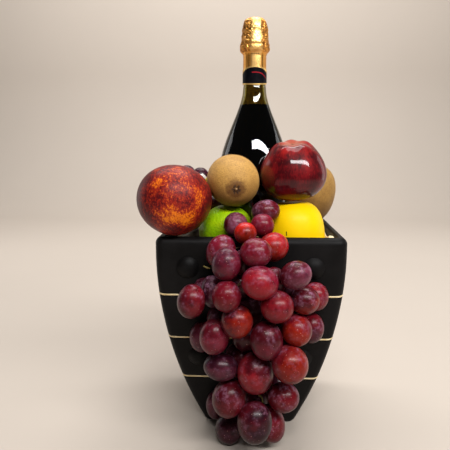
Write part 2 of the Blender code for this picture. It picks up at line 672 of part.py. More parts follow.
def main():
    clear_scene()
    group = new_collection("fruit_arrangement_with_wine")
    cutters = new_collection("cutters")
    black = finish_of("pot_black", (0.012, 0.012, 0.013), 0.55)
    cream = finish_of("line_cream", (0.80, 0.66, 0.42), 0.45)
    make_pot(black, group)
    for name, height in LINE_HEIGHTS.items():
        make_line(name, height, cream, group)
    for row, (across, height) in STUD_ROWS.items():
        make_stud("stud_" + row + "_left", -across, height, black, group)
        make_stud("stud_" + row + "_right", across, height, black, group)
    make_bottle(finish_of("bottle_green_glass", (0.10, 0.08, 0.01), 0.05, clear=1.0),
                finish_of("wine_dark", (0.02, 0.005, 0.002), 0.1), group)
    make_foil(finish_of("gold_foil", (0.85, 0.55, 0.16), 0.25, metal=1.0), group)
    make_neck_label(finish_of("label_black", (0.01, 0.01, 0.012), 0.4), group)
    make_fruits(group)
    make_filling(finish_of("cream_paper", (0.85, 0.72, 0.45), 0.8), group, cutters)
    grape_skin = finish_of("grape_red", (0.20, 0.02, 0.04), 0.35)
    hidden, shown = front_bunch()
    shapes = [ball_shape(ball) for ball in shown] + stalk_shapes(shown)
    shapes += [ball_shape(ball, HIDDEN_SIDES, HIDDEN_SWELL) for ball in hidden]
    fuse("front_grapes", shapes, grape_skin, group)
    fuse("back_grapes", heap_shapes(), finish_of("grape_dark", (0.04, 0.005, 0.02), 0.3), group)


main()
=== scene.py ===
import math
from collections import namedtuple

import bpy
import numpy as np
from mathutils import Euler, Matrix


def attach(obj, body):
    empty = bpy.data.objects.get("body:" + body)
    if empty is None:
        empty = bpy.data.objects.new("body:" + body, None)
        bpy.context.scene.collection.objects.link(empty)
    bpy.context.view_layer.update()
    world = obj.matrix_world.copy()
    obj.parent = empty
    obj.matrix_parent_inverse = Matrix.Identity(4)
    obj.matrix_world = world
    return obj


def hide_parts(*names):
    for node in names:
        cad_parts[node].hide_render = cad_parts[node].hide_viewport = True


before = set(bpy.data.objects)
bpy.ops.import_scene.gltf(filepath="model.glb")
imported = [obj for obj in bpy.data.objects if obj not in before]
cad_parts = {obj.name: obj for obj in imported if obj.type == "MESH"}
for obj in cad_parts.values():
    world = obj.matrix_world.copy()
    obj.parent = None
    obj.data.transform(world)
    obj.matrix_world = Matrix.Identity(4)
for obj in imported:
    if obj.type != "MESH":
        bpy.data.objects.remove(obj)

bl_info = {
    "name": "Fruit arrangement with wine",
    "version": (1, 0, 0),
    "blender": (4, 5, 0),
    "location": "3D View > Sidebar > Arrangement",
    "description": "Builds a black pot filled with fruit, a foil-capped bottle and a hanging bunch of grapes",
    "category": "Object",
}

BODY = "root"

# Clearances, as in the solids
GAP = 0.0003
SNUG = 0.0005

# Pot
POT_HEIGHT = 0.207
POT_HALF = 0.0905
BASE_HALF = 0.047
FULL_WIDTH_HEIGHT = 0.190
FLARE_POWER = 1.85
WALL = 0.009
CORNER_RADIUS = 0.009
BASE_CORNER_RADIUS = 0.0055
INNER_CORNER_RADIUS = 0.003
RIM_OUTER_ROUND = 0.0065
RIM_INNER_ROUND = 0.002
FOOT_ROUND = 0.002
CORNER_STEPS = 10
SIDE_STEPS = 8
LINE_HEIGHTS = {"line_upper": 0.1512, "line_middle": 0.1062, "line_lower": 0.0602}
GROOVE_TALL = 0.0021
GROOVE_DEEP = 0.0011
LINE_TALL = 0.0015
LINE_PROUD = 0.0003
STUD_RADIUS = 0.0105
STUD_RISE = 0.0048
STUD_ROWS = {"upper": (0.0590, 0.1787), "lower": (0.0510, 0.0845)}

# Bottle
BOTTLE_X = 0.003
BOTTLE_Y = 0.018
BOTTLE_BASE = 0.110
BODY_RADIUS = 0.040
HEEL_ROUND = 0.006
GLASS_WALL = 0.0032
SHOULDER_START = 0.2543
SHOULDER_END = 0.355
SHOULDER_PULL_LOW = 0.0426
SHOULDER_PULL_HIGH = 0.0253
NECK_RADIUS = 0.0126
SLEEVED_NECK_RADIUS = 0.0118
BORE_RADIUS = 0.0090
COLLAR_RADIUS = 0.0142
COLLAR_LOW = 0.3975
COLLAR_TOP = 0.4045
MOUTH = 0.4075
WINE_LEVEL = 0.3365
WINE_INTO_WALL = 0.0006
BASE_RING = 0.02
BOTTLE_COLUMNS = 96

# Foil over the cork
FOIL_TOP = 0.4285
FOIL_DOME_RADIUS = 0.0141
FOIL_RING_RADIUS = 0.0167
FOIL_SLEEVE_RADIUS = 0.0126
FOIL_THICK = 0.0005
FOIL_LOW = 0.3620
CORK_RADIUS = 0.0086
CORK_LOW = 0.3860
FOIL_COLUMNS = 220
# Its creases: the radius they are laid out on, the lowest of them and the roll above the cage
FOLD_REACH = 0.0145
CRUSH_LOW = 0.3900
ROLL_HEIGHT = 0.3995
# Its calmer patch in front: the angle it lies at and the arched fold in it
CALM_TURN = 0.12
ARCH_MIDDLE = 0.4065
ARCH_RADIUS = 0.0080
# Its pricks: their spacing across and up, and the height of the row that runs across
PRICK_ACROSS = 0.0020
PRICK_UP = 0.0018
PRICK_ROW = 0.3896

# Label round the neck
LABEL_RADIUS = 0.0132
LABEL_LOW = 0.3595
LABEL_TOP = 0.3722
LABEL_TOP_ARCH = 0.0045
LABEL_LOW_ARCH = 0.0022

# Paper filling
FILL_LEVEL = 0.196
FILL_RISE = 0.0046
FILL_RINGS = 84
FILL_SIDE_STEPS = 36
# Where the paper is heaped or pressed down: rise, place and spread
FILL_HEAPS = ((0.0056, (0.074, -0.060), 0.028), (-0.0100, (-0.056, -0.034), 0.028))

# Front view that the grapes' places are read on: a square 450 units wide, seen from EYE
EYE = np.array((0.0, -0.548, 0.288))
VIEW_SIDE = 450.0
VIEW_MIDDLE = 225.0
VIEW_FOCAL = 500.0
VIEW_HORIZON = 150.0
VIEW_AHEAD = 251.3
SENSOR = 36.0

# Front bunch
GRAPE_SWELL = 1.03
HIDDEN_SWELL = 1.12
TOUCH = 0.93
SLIDE = 0.0005
STALK_RADIUS = 0.0024
PEDICEL_RADIUS = 0.0008
STALK = np.array((
    (0.006, -0.062, 0.2230), (0.004, -0.076, 0.2190), (0.002, -0.090, 0.2135), (0.003, -0.0975, 0.2000),
    (0.004, -0.0990, 0.1760), (0.003, -0.0965, 0.1500), (0.001, -0.0930, 0.1250), (0.002, -0.0880, 0.1000),
    (0.004, -0.0820, 0.0750), (0.005, -0.0750, 0.0500), (0.005, -0.0700, 0.0320),
))

Fruit = namedtuple("Fruit", "centre size turn form")
Form = namedtuple("Form", "taper top_dimple base_dimple tips lobes square")
Grape = namedtuple("Grape", "across down wide tall lean skin glow")
Ball = namedtuple("Ball", "centre size turn")

# Where the nectarine ripened orange: place in the front view, spread and strength of each patch
RIPE_PATCHES = (
    (153, 184, 0.005, 0.36), (163, 183, 0.006, 0.42), (153, 192, 0.006, 0.26), (189, 173, 0.009, 0.26),
    (200, 180, 0.008, 0.40), (205, 190, 0.008, 0.46), (202, 201, 0.008, 0.42), (194, 210, 0.007, 0.26),
    (174, 208, 0.009, 0.46), (169, 217, 0.009, 0.40), (181, 217, 0.008, 0.44), (189, 221, 0.010, 0.36),
    (197, 227, 0.009, 0.26), (157, 213, 0.009, 0.20), (175, 168, 0.010, 0.24), (166, 175, 0.009, 0.20),
)

# Kiwifruit hairs: how many, how thick, and how deep they are rooted
HAIR_COUNT = 5200
HAIR_THICK = 0.00006
HAIR_ROOT = 0.0002

PLAIN = Form(taper=0.0, top_dimple=0.0, base_dimple=0.0, tips=0.0, lobes=0.0, square=2.0)

FRUITS = {
    "nectarine": Fruit((-0.0725, -0.0780, 0.2410), (0.0716, 0.0700, 0.0664), (-24, 14, 30),
                       PLAIN._replace(top_dimple=0.12, tips=0.03, taper=0.02)),
    "kiwifruit_front": Fruit((-0.0178, -0.0550, 0.2585), (0.0512, 0.0492, 0.0600), (103, 0, 8),
                             PLAIN._replace(square=2.2)),
    "kiwifruit_back": Fruit((0.0715, 0.0420, 0.2375), (0.0520, 0.0500, 0.0690), (4, 12, 0),
                            PLAIN._replace(square=2.2)),
    "green_citrus": Fruit((-0.0254, -0.0500, 0.2085), (0.0500, 0.0500, 0.0540), (20, 62, 0),
                          PLAIN._replace(tips=0.06)),
    "red_pome": Fruit((0.0414, -0.0470, 0.2684), (0.0650, 0.0650, 0.0608), (194, -9, 20),
                      PLAIN._replace(taper=0.165, top_dimple=0.30, base_dimple=0.14, lobes=0.055)),
    "yellow_pome": Fruit((0.0438, -0.0490, 0.2004), (0.0612, 0.0612, 0.0747), (0, -4, 0),
                         PLAIN._replace(taper=-0.044, top_dimple=0.03, square=2.9)),
}

# A direction that no tube runs along
TUBE_ASIDE = (0.31, 0.94, 0.12)

# Grape skin colours: a grape has one of them, and a second is painted on as a glow where it is lit through
TONES = {
    "scarlet": (0.586, 0.0176, 0.0108), "rose": (0.415, 0.0132, 0.0173), "ruby": (0.244, 0.0088, 0.0151),
    "crimson": (0.14, 0.0044, 0.00972), "magenta": (0.165, 0.0077, 0.0216),
    "maroon": (0.0732, 0.0033, 0.00756), "plum": (0.0464, 0.0044, 0.0119), "dark": (0.022, 0.0022, 0.00648),
    "ember": (0.244, 0.0121, 0.00432), "mauve": (0.171, 0.033, 0.0594), "dusk": (0.0805, 0.0121, 0.0238),
}

# Grapes hidden against the pot, low to high
HIDDEN_GRAPES = tuple(Grape(*place, "plum", "maroon") for place in (
    (254, 400, 28, 30, 0), (244, 380, 28, 30, 0), (275, 384, 28, 30, 0), (240, 356, 30, 30, 0),
    (270, 356, 30, 32, 0), (246, 336, 28, 30, 0), (285, 340, 28, 30, 0), (221, 318, 28, 32, 0),
    (250, 308, 30, 32, 0), (240, 284, 28, 30, 0), (283, 290, 28, 30, 0), (245, 262, 26, 28, 0),
))

# Grapes lying on the rim, back to front
RIM_GRAPES = tuple(Grape(*row) for row in (
    (265.3, 211.0, 29, 24, -12, "dusk", "crimson"), (262.4, 225.0, 24, 24, 0, "magenta", "crimson"),
    (235.7, 223.9, 24, 25, 12, "maroon", "mauve"), (245.4, 232.7, 23, 22.5, 0, "scarlet", "ember"),
))

# Grapes hanging in front of the pot, back to front
FRONT_GRAPES = tuple(Grape(*row) for row in (
    (221.3, 250.5, 29, 35, 24, "magenta", "crimson"), (273.0, 246.4, 31, 29, -30, "rose", "ember"),
    (274.0, 281.0, 24, 30, 0, "crimson", "maroon"), (204.0, 290.0, 23, 26, 0, "dusk", "maroon"),
    (212.5, 291.0, 23, 34, -6, "plum", "dusk"), (295.5, 274.5, 33, 28.5, -24, "maroon", "mauve"),
    (315.5, 295.7, 26, 29, 0, "crimson", "ruby"), (311.5, 327.0, 25, 31, 0, "crimson", "dusk"),
    (202.0, 336.0, 25, 31, 0, "maroon", "dusk"), (216.0, 404.0, 20, 30, 0, "plum", "dusk"),
    (229.0, 427.5, 27, 31, 0, "dark", "plum"), (270.6, 422.4, 28, 40, -12, "magenta", "crimson"),
    (283.3, 396.5, 32, 30, 0, "maroon", "crimson"), (220.8, 366.0, 35, 28, 8, "dark", "dusk"),
    (289.8, 363.5, 36.5, 39, -10, "crimson", "ember"), (296.3, 329.0, 31, 33, -10, "crimson", "ember"),
    (305.0, 299.5, 29.5, 29, 0, "maroon", "ember"), (226.6, 263.0, 30, 34.5, 10, "dusk", "magenta"),
    (191.5, 300.5, 28.5, 35, 10, "maroon", "crimson"), (256.2, 252.0, 32.5, 30, 0, "crimson", "magenta"),
    (214.6, 335.5, 30, 37.5, 8, "maroon", "magenta"), (229.4, 397.3, 34, 39.5, 12, "maroon", "crimson"),
    (254.6, 421.4, 34.5, 44, 0, "maroon", "dark"), (255.3, 372.0, 36, 43, -6, "maroon", "ruby"),
    (237.0, 320.5, 32, 34, 0, "maroon", "ember"), (226.6, 295.6, 29.5, 32.5, 0, "magenta", "crimson"),
    (277.3, 306.0, 33.5, 33, 0, "crimson", "ruby"), (260.1, 282.0, 37.8, 34.5, 14, "magenta", "ruby"),
    (266.3, 339.6, 33, 40, -6, "maroon", "magenta"),
))

# Stalks that show between the grapes: where each starts, bends and ends in the front view, and its Y
SHOWN_STALKS = (
    ((240.5, 252.0), (241.0, 262.0), (240.5, 272.0), -0.1045),
    ((240.5, 272.0), (237.5, 276.5), (233.0, 280.0), -0.1060),
    ((210.0, 268.5), (206.5, 267.5), (203.5, 266.0), -0.1050),
    ((272.0, 286.0), (279.5, 288.5), (284.0, 291.5), -0.1160),
    ((258.0, 394.0), (261.5, 397.5), (262.5, 402.0), -0.0990),
)
# Grapes whose stem end faces the front, with where it shows
STEM_ENDS = {(245.4, 232.7): (251.5, 226.6), (262.4, 225.0): (264.3, 219.0), (237.0, 320.5): (238.8, 314.3)}

# Small dark grapes heaped behind the nectarine, over an oval core
HEAP_GRAPE = 0.0092
HEAP_TRIES = 260
HEAP_CORE = np.array((0.0112, 0.0230, 0.0290))
HEAP_MIDDLE = np.array((-0.0625, 0.0080, 0.2300))
HEAP_LOWEST = 0.2020
HEAP_SHOWN = ((187.0, 173.0, 0.0000), (200.4, 175.2, 0.0040), (213.0, 203.0, -0.0190),
              (203.0, 203.0, -0.0110))

# Lights: the setting that holds its power, place, aim, size, and roll in degrees
MIDDLE = (0.0, -0.03, 0.22)
LIGHTS = {
    "key_front": ("key", (0.45, -0.95, 1.05), MIDDLE, (1.35, 0.17), -12),
    "top_soft": ("top", (0.10, -0.10, 1.30), MIDDLE, (0.70, 0.40), 0),
    "side_left": ("side", (-1.20, 0.62, 0.45), MIDDLE, (0.5, 0.9), 0),
    "side_right": ("side", (1.20, 0.62, 0.45), MIDDLE, (0.5, 0.9), 0),
    "backdrop_soft": ("back", (-0.10, 0.75, 2.10), (0.0, 1.75, 0.80), (2.2, 0.8), 0),
}


# ---- settings that a user can change

def colour_setting(name, description, default):
    """A colour."""
    return bpy.props.FloatVectorProperty(name=name, description=description, default=default, size=3,
                                         min=0.0, max=1.0, subtype="COLOR")


def share_setting(name, description, default):
    """A share between 0 and 1."""
    return bpy.props.FloatProperty(name=name, description=description, default=default,
                                   min=0.0, max=1.0, subtype="FACTOR")


def length_setting(name, description, default, longest):
    """A length in metres."""
    return bpy.props.FloatProperty(name=name, description=description, default=default,
                                   min=0.0, max=longest, unit="LENGTH")


def power_setting(name, description, default):
    """A light's power in watts."""
    return bpy.props.FloatProperty(name=name, description=description, default=default, min=0.0, unit="POWER")


class PotSettings(bpy.types.PropertyGroup):
    """Finish of the pot, its lines and the paper in it."""
    black: colour_setting("Pot", "Colour of the pot and its studs", (0.0050, 0.0044, 0.0044))
    rough: share_setting("Pot roughness", "How dull the pot's surface is", 0.50)
    cream: colour_setting("Lines", "Colour of the lines round the pot", (0.86, 0.70, 0.42))
    paper: colour_setting("Paper", "Colour of the crumpled paper", (0.88, 0.74, 0.46))


class BottleSettings(bpy.types.PropertyGroup):
    """Finish of the bottle, its wine, foil and label."""
    glass: colour_setting("Glass", "Colour that the glass lets through", (0.24, 0.18, 0.014))
    wine: colour_setting("Wine", "Colour of the wine in the mass", (0.0015, 0.0010, 0.0005))
    gold: colour_setting("Gold foil", "Colour of the foil", (0.95, 0.60, 0.21))
    # Painted shade: the colour laid in the foil's creases.
    gold_deep: colour_setting("Gold folds", "Colour deep in the foil's folds", (0.46, 0.18, 0.03))
    label: colour_setting("Label", "Colour of the neck label", (0.003, 0.003, 0.0045))
    stripe: colour_setting("Stripe", "Colour of the curved stripe on the label", (0.30, 0.012, 0.020))
    crush: length_setting("Foil creases", "How deep the foil is creased", 0.00080, 0.001)


class FruitSettings(bpy.types.PropertyGroup):
    """Colours of the large fruit."""
    nectarine: colour_setting("Nectarine", "Main red of the nectarine", (0.30, 0.016, 0.007))
    nectarine_dark: colour_setting("Nectarine shade", "Darkest red of the nectarine", (0.075, 0.004, 0.006))
    nectarine_glow: colour_setting("Nectarine glow", "Orange of the ripe patches", (0.76, 0.17, 0.006))
    kiwi: colour_setting("Kiwifruit", "Skin of the kiwifruit", (0.49, 0.270, 0.064))
    kiwi_dark: colour_setting("Kiwifruit shade", "Darker blotches of the kiwifruit", (0.26, 0.125, 0.030))
    lime: colour_setting("Lime", "Skin of the lime", (0.26, 0.50, 0.003))
    red: colour_setting("Red fruit", "Main red of the glossy fruit", (0.13, 0.0025, 0.006))
    yellow: colour_setting("Yellow fruit", "Skin of the yellow fruit", (0.95, 0.62, 0.0005))
    hair: length_setting("Kiwifruit hair", "Length of the kiwifruit's short hairs", 0.0010, 0.003)


class GrapeSettings(bpy.types.PropertyGroup):
    """Finish of the grapes."""
    bloom: colour_setting("Bloom", "Colour of the waxy bloom on the skin", (0.36, 0.17, 0.27))
    bloom_amount: share_setting("Bloom amount", "How much bloom is left on the skin", 0.42)
    stem: colour_setting("Stem", "Colour of the stalks", (0.30, 0.26, 0.05))
    dark: colour_setting("Small grapes", "Colour of the small dark grapes", (0.020, 0.003, 0.008))


class StageSettings(bpy.types.PropertyGroup):
    """Floor, backdrop and light."""
    floor: colour_setting("Floor", "Colour of the floor and backdrop", (0.51, 0.445, 0.383))
    key: power_setting("Key light", "Power of the soft light in front and above", 23.0)
    top: power_setting("Top light", "Power of the light overhead", 4.5)
    side: power_setting("Side lights", "Power of each soft panel beside the pot", 1.9)
    back: power_setting("Backdrop light", "Power of the light on the backdrop", 64.0)
    fill: bpy.props.FloatProperty(name="Surrounding light", default=0.035, min=0.0,
                                  description="Strength of the light from all round")


# ---- surfaces worked out as arrays

def unit_rows(rows):
    """Each row brought to a length of one."""
    return rows / np.linalg.norm(rows, axis=1)[:, None]


def globe(rows, columns):
    """Points of a unit globe: a pole, rows of columns, a pole. Angle from the top and angle around vary."""
    from_top = np.pi * np.arange(1, rows + 1) / (rows + 1)
    around = 2 * np.pi * np.arange(columns) / columns
    ring = np.sin(from_top)[:, None]
    height = np.repeat(np.cos(from_top)[:, None], columns, axis=1)
    belt = np.stack([ring * np.cos(around), ring * np.sin(around), height], axis=-1)
    return np.vstack([[(0.0, 0.0, 1.0)], belt.reshape(-1, 3), [(0.0, 0.0, -1.0)]])


def globe_faces(rows, columns):
    """Quads between rows and triangles round both poles, facing out when the rows run from top to base."""
    row, column = np.meshgrid(np.arange(rows - 1), np.arange(columns), indexing="ij")
    here = 1 + row * columns + column
    beside = 1 + row * columns + (column + 1) % columns
    quads = np.stack([here, here + columns, beside + columns, beside], axis=-1).reshape(-1, 4)
    ring = np.arange(columns)
    after = (ring + 1) % columns
    last_row = 1 + (rows - 1) * columns
    pole = last_row + columns
    top = np.stack([np.zeros_like(ring), 1 + ring, 1 + after], axis=-1)
    base = np.stack([np.full_like(ring, pole), last_row + after, last_row + ring], axis=-1)
    return [quads, np.vstack([top, base])]


def band_faces(rows, columns):
    """Quads over a closed band: both the rows and the columns meet themselves."""
    row, column = np.meshgrid(np.arange(rows), np.arange(columns), indexing="ij")
    here = row * columns + column
    beside = row * columns + (column + 1) % columns
    below = ((row + 1) % rows) * columns + column
    across = ((row + 1) % rows) * columns + (column + 1) % columns
    return [np.stack([here, below, across, beside], axis=-1).reshape(-1, 4)]


def repeated(faces, copies, step):
    """The faces of many like shapes, each copy's points standing step further on."""
    offsets = np.arange(copies)[:, None, None] * step
    return [(part[None] + offsets).reshape(-1, part.shape[1]) for part in faces]


def volume_of(points, faces):
    """Signed volume: a sixth of the sum of each face fan's triple products."""
    total = 0.0
    for part in faces:
        first = points[part[:, 0]]
        for corner in range(1, part.shape[1] - 1):
            second, third = points[part[:, corner]], points[part[:, corner + 1]]
            total += np.einsum("ij,ij->", first, np.cross(second, third))
    return total / 6


def waves(places, length, seed, count=16):
    """Smooth unevenness, about -1 to 1: the sum of sine waves of one length in random directions."""
    draw = np.random.default_rng(seed)
    ways = draw.normal(size=(count, 3))
    ways *= (2 * np.pi / length) / np.linalg.norm(ways, axis=1)[:, None]
    starts = draw.uniform(0.0, 2 * np.pi, count)
    return np.sin(places @ ways.T + starts).sum(axis=1) * math.sqrt(0.5 / count)


def turned(outline, columns, place=(0.0, 0.0)):
    """An outline of (radius, height), from axis to axis, swept round: each radius times cosine and sine."""
    outline = np.asarray(outline, dtype=float)
    around = 2 * np.pi * np.arange(columns) / columns
    radius, height = outline[1:-1, 0][:, None], outline[1:-1, 1][:, None]
    belt = np.stack([radius * np.cos(around), radius * np.sin(around), height + 0 * around], axis=-1)
    ends = [(0.0, 0.0, outline[0, 1])], [(0.0, 0.0, outline[-1, 1])]
    points = np.vstack([ends[0], belt.reshape(-1, 3), ends[1]])
    return points + (place[0], place[1], 0.0), globe_faces(len(outline) - 2, columns)


def smooth_path(points, steps):
    """A curve through points: between two of them, the cubic whose slopes are their neighbours' chords."""
    points = np.asarray(points, dtype=float)
    before = np.vstack([2 * points[:1] - points[1:2], points[:-2]])
    after = np.vstack([points[2:], 2 * points[-1:] - points[-2:-1]])
    start, end = points[:-1], points[1:]
    share = (np.arange(steps) / steps)[None, :, None]
    one, two = start[:, None], end[:, None]
    lean_in, lean_out = (two - before[:, None]) / 2, (after[:, None] - one) / 2
    curve = (one * (2 * share ** 3 - 3 * share ** 2 + 1) + lean_in * (share ** 3 - 2 * share ** 2 + share)
             + two * (3 * share ** 2 - 2 * share ** 3) + lean_out * (share ** 3 - share ** 2))
    return np.vstack([curve.reshape(-1, points.shape[1]), points[-1:]])


def tube(path, radii, columns=10):
    """A closed tube: circles of the given radii square to the path, with a point at each end."""
    along = unit_rows(np.gradient(path, axis=0))
    aside = unit_rows(np.cross(along, TUBE_ASIDE))
    other = np.cross(along, aside)
    around = 2 * np.pi * np.arange(columns) / columns
    circle = aside[:, None] * np.cos(around)[None, :, None] + other[:, None] * np.sin(around)[None, :, None]
    belt = path[:, None] + circle * np.asarray(radii)[:, None, None]
    points = np.vstack([path[:1], belt.reshape(-1, 3), path[-1:]])
    return points, globe_faces(len(path), columns)


def square_rings(halves, radii, heights, corner_steps=CORNER_STEPS, side_steps=SIDE_STEPS):
    """Square outlines with round corners, one for each half-width, corner radius and height."""
    unit, spread = [], []
    for corner in range(4):
        turn = np.radians(90 * corner + np.linspace(0, 90, corner_steps + 1))
        way = np.radians(45 + 90 * corner)
        unit.append(np.stack([np.cos(turn), np.sin(turn)], axis=-1))
        spread.append(np.tile(np.sign((math.cos(way), math.sin(way))), (corner_steps + 1, 1)))
    unit, spread = np.vstack(unit), np.vstack(spread)
    halves, radii, heights = (np.asarray(part, dtype=float)[:, None, None]
                              for part in (halves, radii, heights))
    flat = spread[None] * (halves - radii) + unit[None] * radii
    flat = fill_sides(flat, corner_steps, side_steps)
    return np.concatenate([flat, np.broadcast_to(heights, flat.shape[:2] + (1,))], axis=-1)


def fill_sides(rings, corner_steps, side_steps):
    """The same rings with each straight side cut into equal steps between its two corners."""
    parts = []
    count = corner_steps + 1
    for corner in range(4):
        own = rings[:, corner * count:(corner + 1) * count]
        after = rings[:, ((corner + 1) * count) % rings.shape[1]]
        share = (np.arange(1, side_steps) / side_steps)[None, :, None]
        parts += [own, own[:, -1:] * (1 - share) + after[:, None] * share]
    return np.concatenate(parts, axis=1)


def put_piece(name, points, faces, finish, marks=None, replaces=(), slot=None, sharp=None):
    """Make a piece from arrays, facing out, with marks kept on its points, and ride it on the body."""
    if volume_of(points, faces) < 0:
        faces = [part[:, ::-1] for part in faces]
    mesh = bpy.data.meshes.new(name)
    corners = [corner for part in faces for corner in part.tolist()]
    mesh.from_pydata(points.tolist(), [], corners)
    for label, values in (marks or {}).items():
        values = np.asarray(values, dtype=np.float32)
        kind, field = ("FLOAT", "value") if values.ndim == 1 else ("FLOAT_VECTOR", "vector")
        mesh.attributes.new(label, kind, "POINT").data.foreach_set(field, values.ravel())
    mesh.shade_smooth()
    if sharp is not None:
        mesh.set_sharp_from_angle(angle=math.radians(sharp))
    mesh.materials.append(finish)
    piece = bpy.data.objects.new(name, mesh)
    bpy.context.scene.collection.objects.link(piece)
    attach(piece, BODY)
    if replaces:
        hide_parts(*replaces)
    return piece


def joined(shapes):
    """Several (points, faces) as one, each one's faces moved on to its own points."""
    points, quads, triangles, start = [], [], [], 0
    for shape_points, shape_faces in shapes:
        points.append(shape_points)
        quads.append(shape_faces[0] + start)
        triangles.append(shape_faces[1] + start)
        start += len(shape_points)
    return np.vstack(points), [np.vstack(quads), np.vstack(triangles)]


# ---- finishes

class Sheet:
    """A node tree being filled. Where a value is asked for, the name of a mark on the points will do."""

    def __init__(self, tree):
        self.tree = tree
        self.place = None

    def join(self, node, inputs):
        """Join each input to a socket or to the mark of that name, or set it to a value."""
        for name, value in inputs.items():
            if isinstance(value, str):
                value = self.mark(value)
            if isinstance(value, bpy.types.NodeSocket):
                self.tree.links.new(value, node.inputs[name])
            else:
                node.inputs[name].default_value = value

    def put(self, kind, inputs=None, **settings):
        """A new node with its settings and inputs."""
        node = self.tree.nodes.new(kind)
        for name, value in settings.items():
            setattr(node, name, value)
        self.join(node, inputs or {})
        return node

    def mark(self, name, output="Fac"):
        """A value, colour or vector kept on the points."""
        return self.put("ShaderNodeAttribute", attribute_name=name).outputs[output]

    def sum(self, operation, one, two):
        """A Math node's result."""
        return self.put("ShaderNodeMath", {0: one, 1: two}, operation=operation).outputs[0]

    def plus(self, one, two):
        """One value and the other."""
        return self.sum("ADD", one, two)

    def times(self, one, two):
        """One value times the other."""
        return self.sum("MULTIPLY", one, two)

    def swing(self, value, amount):
        """How far a value is from a half, times an amount."""
        return self.times(self.sum("SUBTRACT", value, 0.5), amount)

    def ease(self, value, low, high, start=0.0, end=1.0):
        """The value's smooth way from low to high, as start to end."""
        inputs = {"Value": value, "From Min": low, "From Max": high, "To Min": start, "To Max": end}
        return self.put("ShaderNodeMapRange", inputs, interpolation_type="SMOOTHSTEP").outputs["Result"]

    def tint(self, value):
        """A colour with its alpha, the colour mark of that name, or a socket as it is."""
        if isinstance(value, str):
            return self.mark(value, "Color")
        return value if isinstance(value, bpy.types.NodeSocket) else (*tuple(value)[:3], 1.0)

    def blend(self, share, one, two, way="MIX"):
        """A Mix node between two colours."""
        node = self.put("ShaderNodeMix", data_type="RGBA", blend_type=way)
        self.join(node, {0: share, 6: self.tint(one), 7: self.tint(two)})
        return node.outputs[2]

    def stretch(self, scale=(1, 1, 1), move=(0, 0, 0), place=None):
        """Places scaled and moved."""
        inputs = {"Vector": place or self.place, "Location": move, "Scale": scale}
        return self.put("ShaderNodeMapping", inputs).outputs[0]

    def noise(self, scale, detail=3.0, rough=0.5, place=None):
        """Cloudy noise about a half."""
        inputs = {"Vector": place or self.place, "Scale": scale, "Detail": detail, "Roughness": rough}
        return self.put("ShaderNodeTexNoise", inputs).outputs[0]

    def cells(self, scale, feature="F1"):
        """The outputs of a pattern of cells."""
        inputs = {"Vector": self.place, "Scale": scale}
        return self.put("ShaderNodeTexVoronoi", inputs, feature=feature).outputs


def effect_group(name, numbers, output, build):
    """A shader node group, built once, that reads a place and some numbers and gives one value."""
    group = bpy.data.node_groups.get(name)
    if group:
        return group
    group = bpy.data.node_groups.new(name, "ShaderNodeTree")
    group.interface.new_socket(name="Place", in_out="INPUT", socket_type="NodeSocketVector")
    for label, default in numbers.items():
        socket = group.interface.new_socket(name=label, in_out="INPUT", socket_type="NodeSocketFloat")
        socket.default_value = default
    group.interface.new_socket(name=output, in_out="OUTPUT", socket_type="NodeSocketFloat")
    sheet = Sheet(group)
    source = sheet.put("NodeGroupInput").outputs
    sheet.place = source["Place"]
    sheet.put("NodeGroupOutput", {output: build(sheet, source)})
    return group


def mottle_group():
    """Soft cloudy patches between 0 and 1, of a size in metres, from low to high noise."""
    def build(sheet, source):
        cloud = sheet.noise(sheet.sum("DIVIDE", 1.0, source["Size"]), detail=5.0, rough=0.6)
        return sheet.ease(cloud, source["Low"], source["High"])
    return effect_group("Mottle", {"Size": 0.01, "Low": 0.4, "High": 0.6}, "Mask", build)


def dots_group():
    """Small round dots, each in its own cell of a spacing in metres and of its own size."""
    def build(sheet, source):
        cells = sheet.cells(sheet.sum("DIVIDE", 1.0, source["Spacing"]))
        size = sheet.times(source["Share"], cells["Color"])
        near = sheet.sum("LESS_THAN", cells["Distance"], size)
        return sheet.times(near, sheet.ease(sheet.sum("DIVIDE", cells["Distance"], size), 0.5, 1.0, 1.0, 0.0))
    return effect_group("Dots", {"Spacing": 0.003, "Share": 0.2}, "Mask", build)


def pores_group():
    """Tiny pits between rounded cells of a size in metres, as a height between 0 and 1."""
    def build(sheet, source):
        scale = sheet.sum("DIVIDE", 1.0, source["Size"])
        level = sheet.ease(sheet.cells(scale, "SMOOTH_F1")["Distance"], 0.05, 0.6)
        return sheet.plus(level, sheet.times(sheet.noise(sheet.times(scale, 2.3), detail=2.0), 0.35))
    return effect_group("Pores", {"Size": 0.001}, "Height", build)


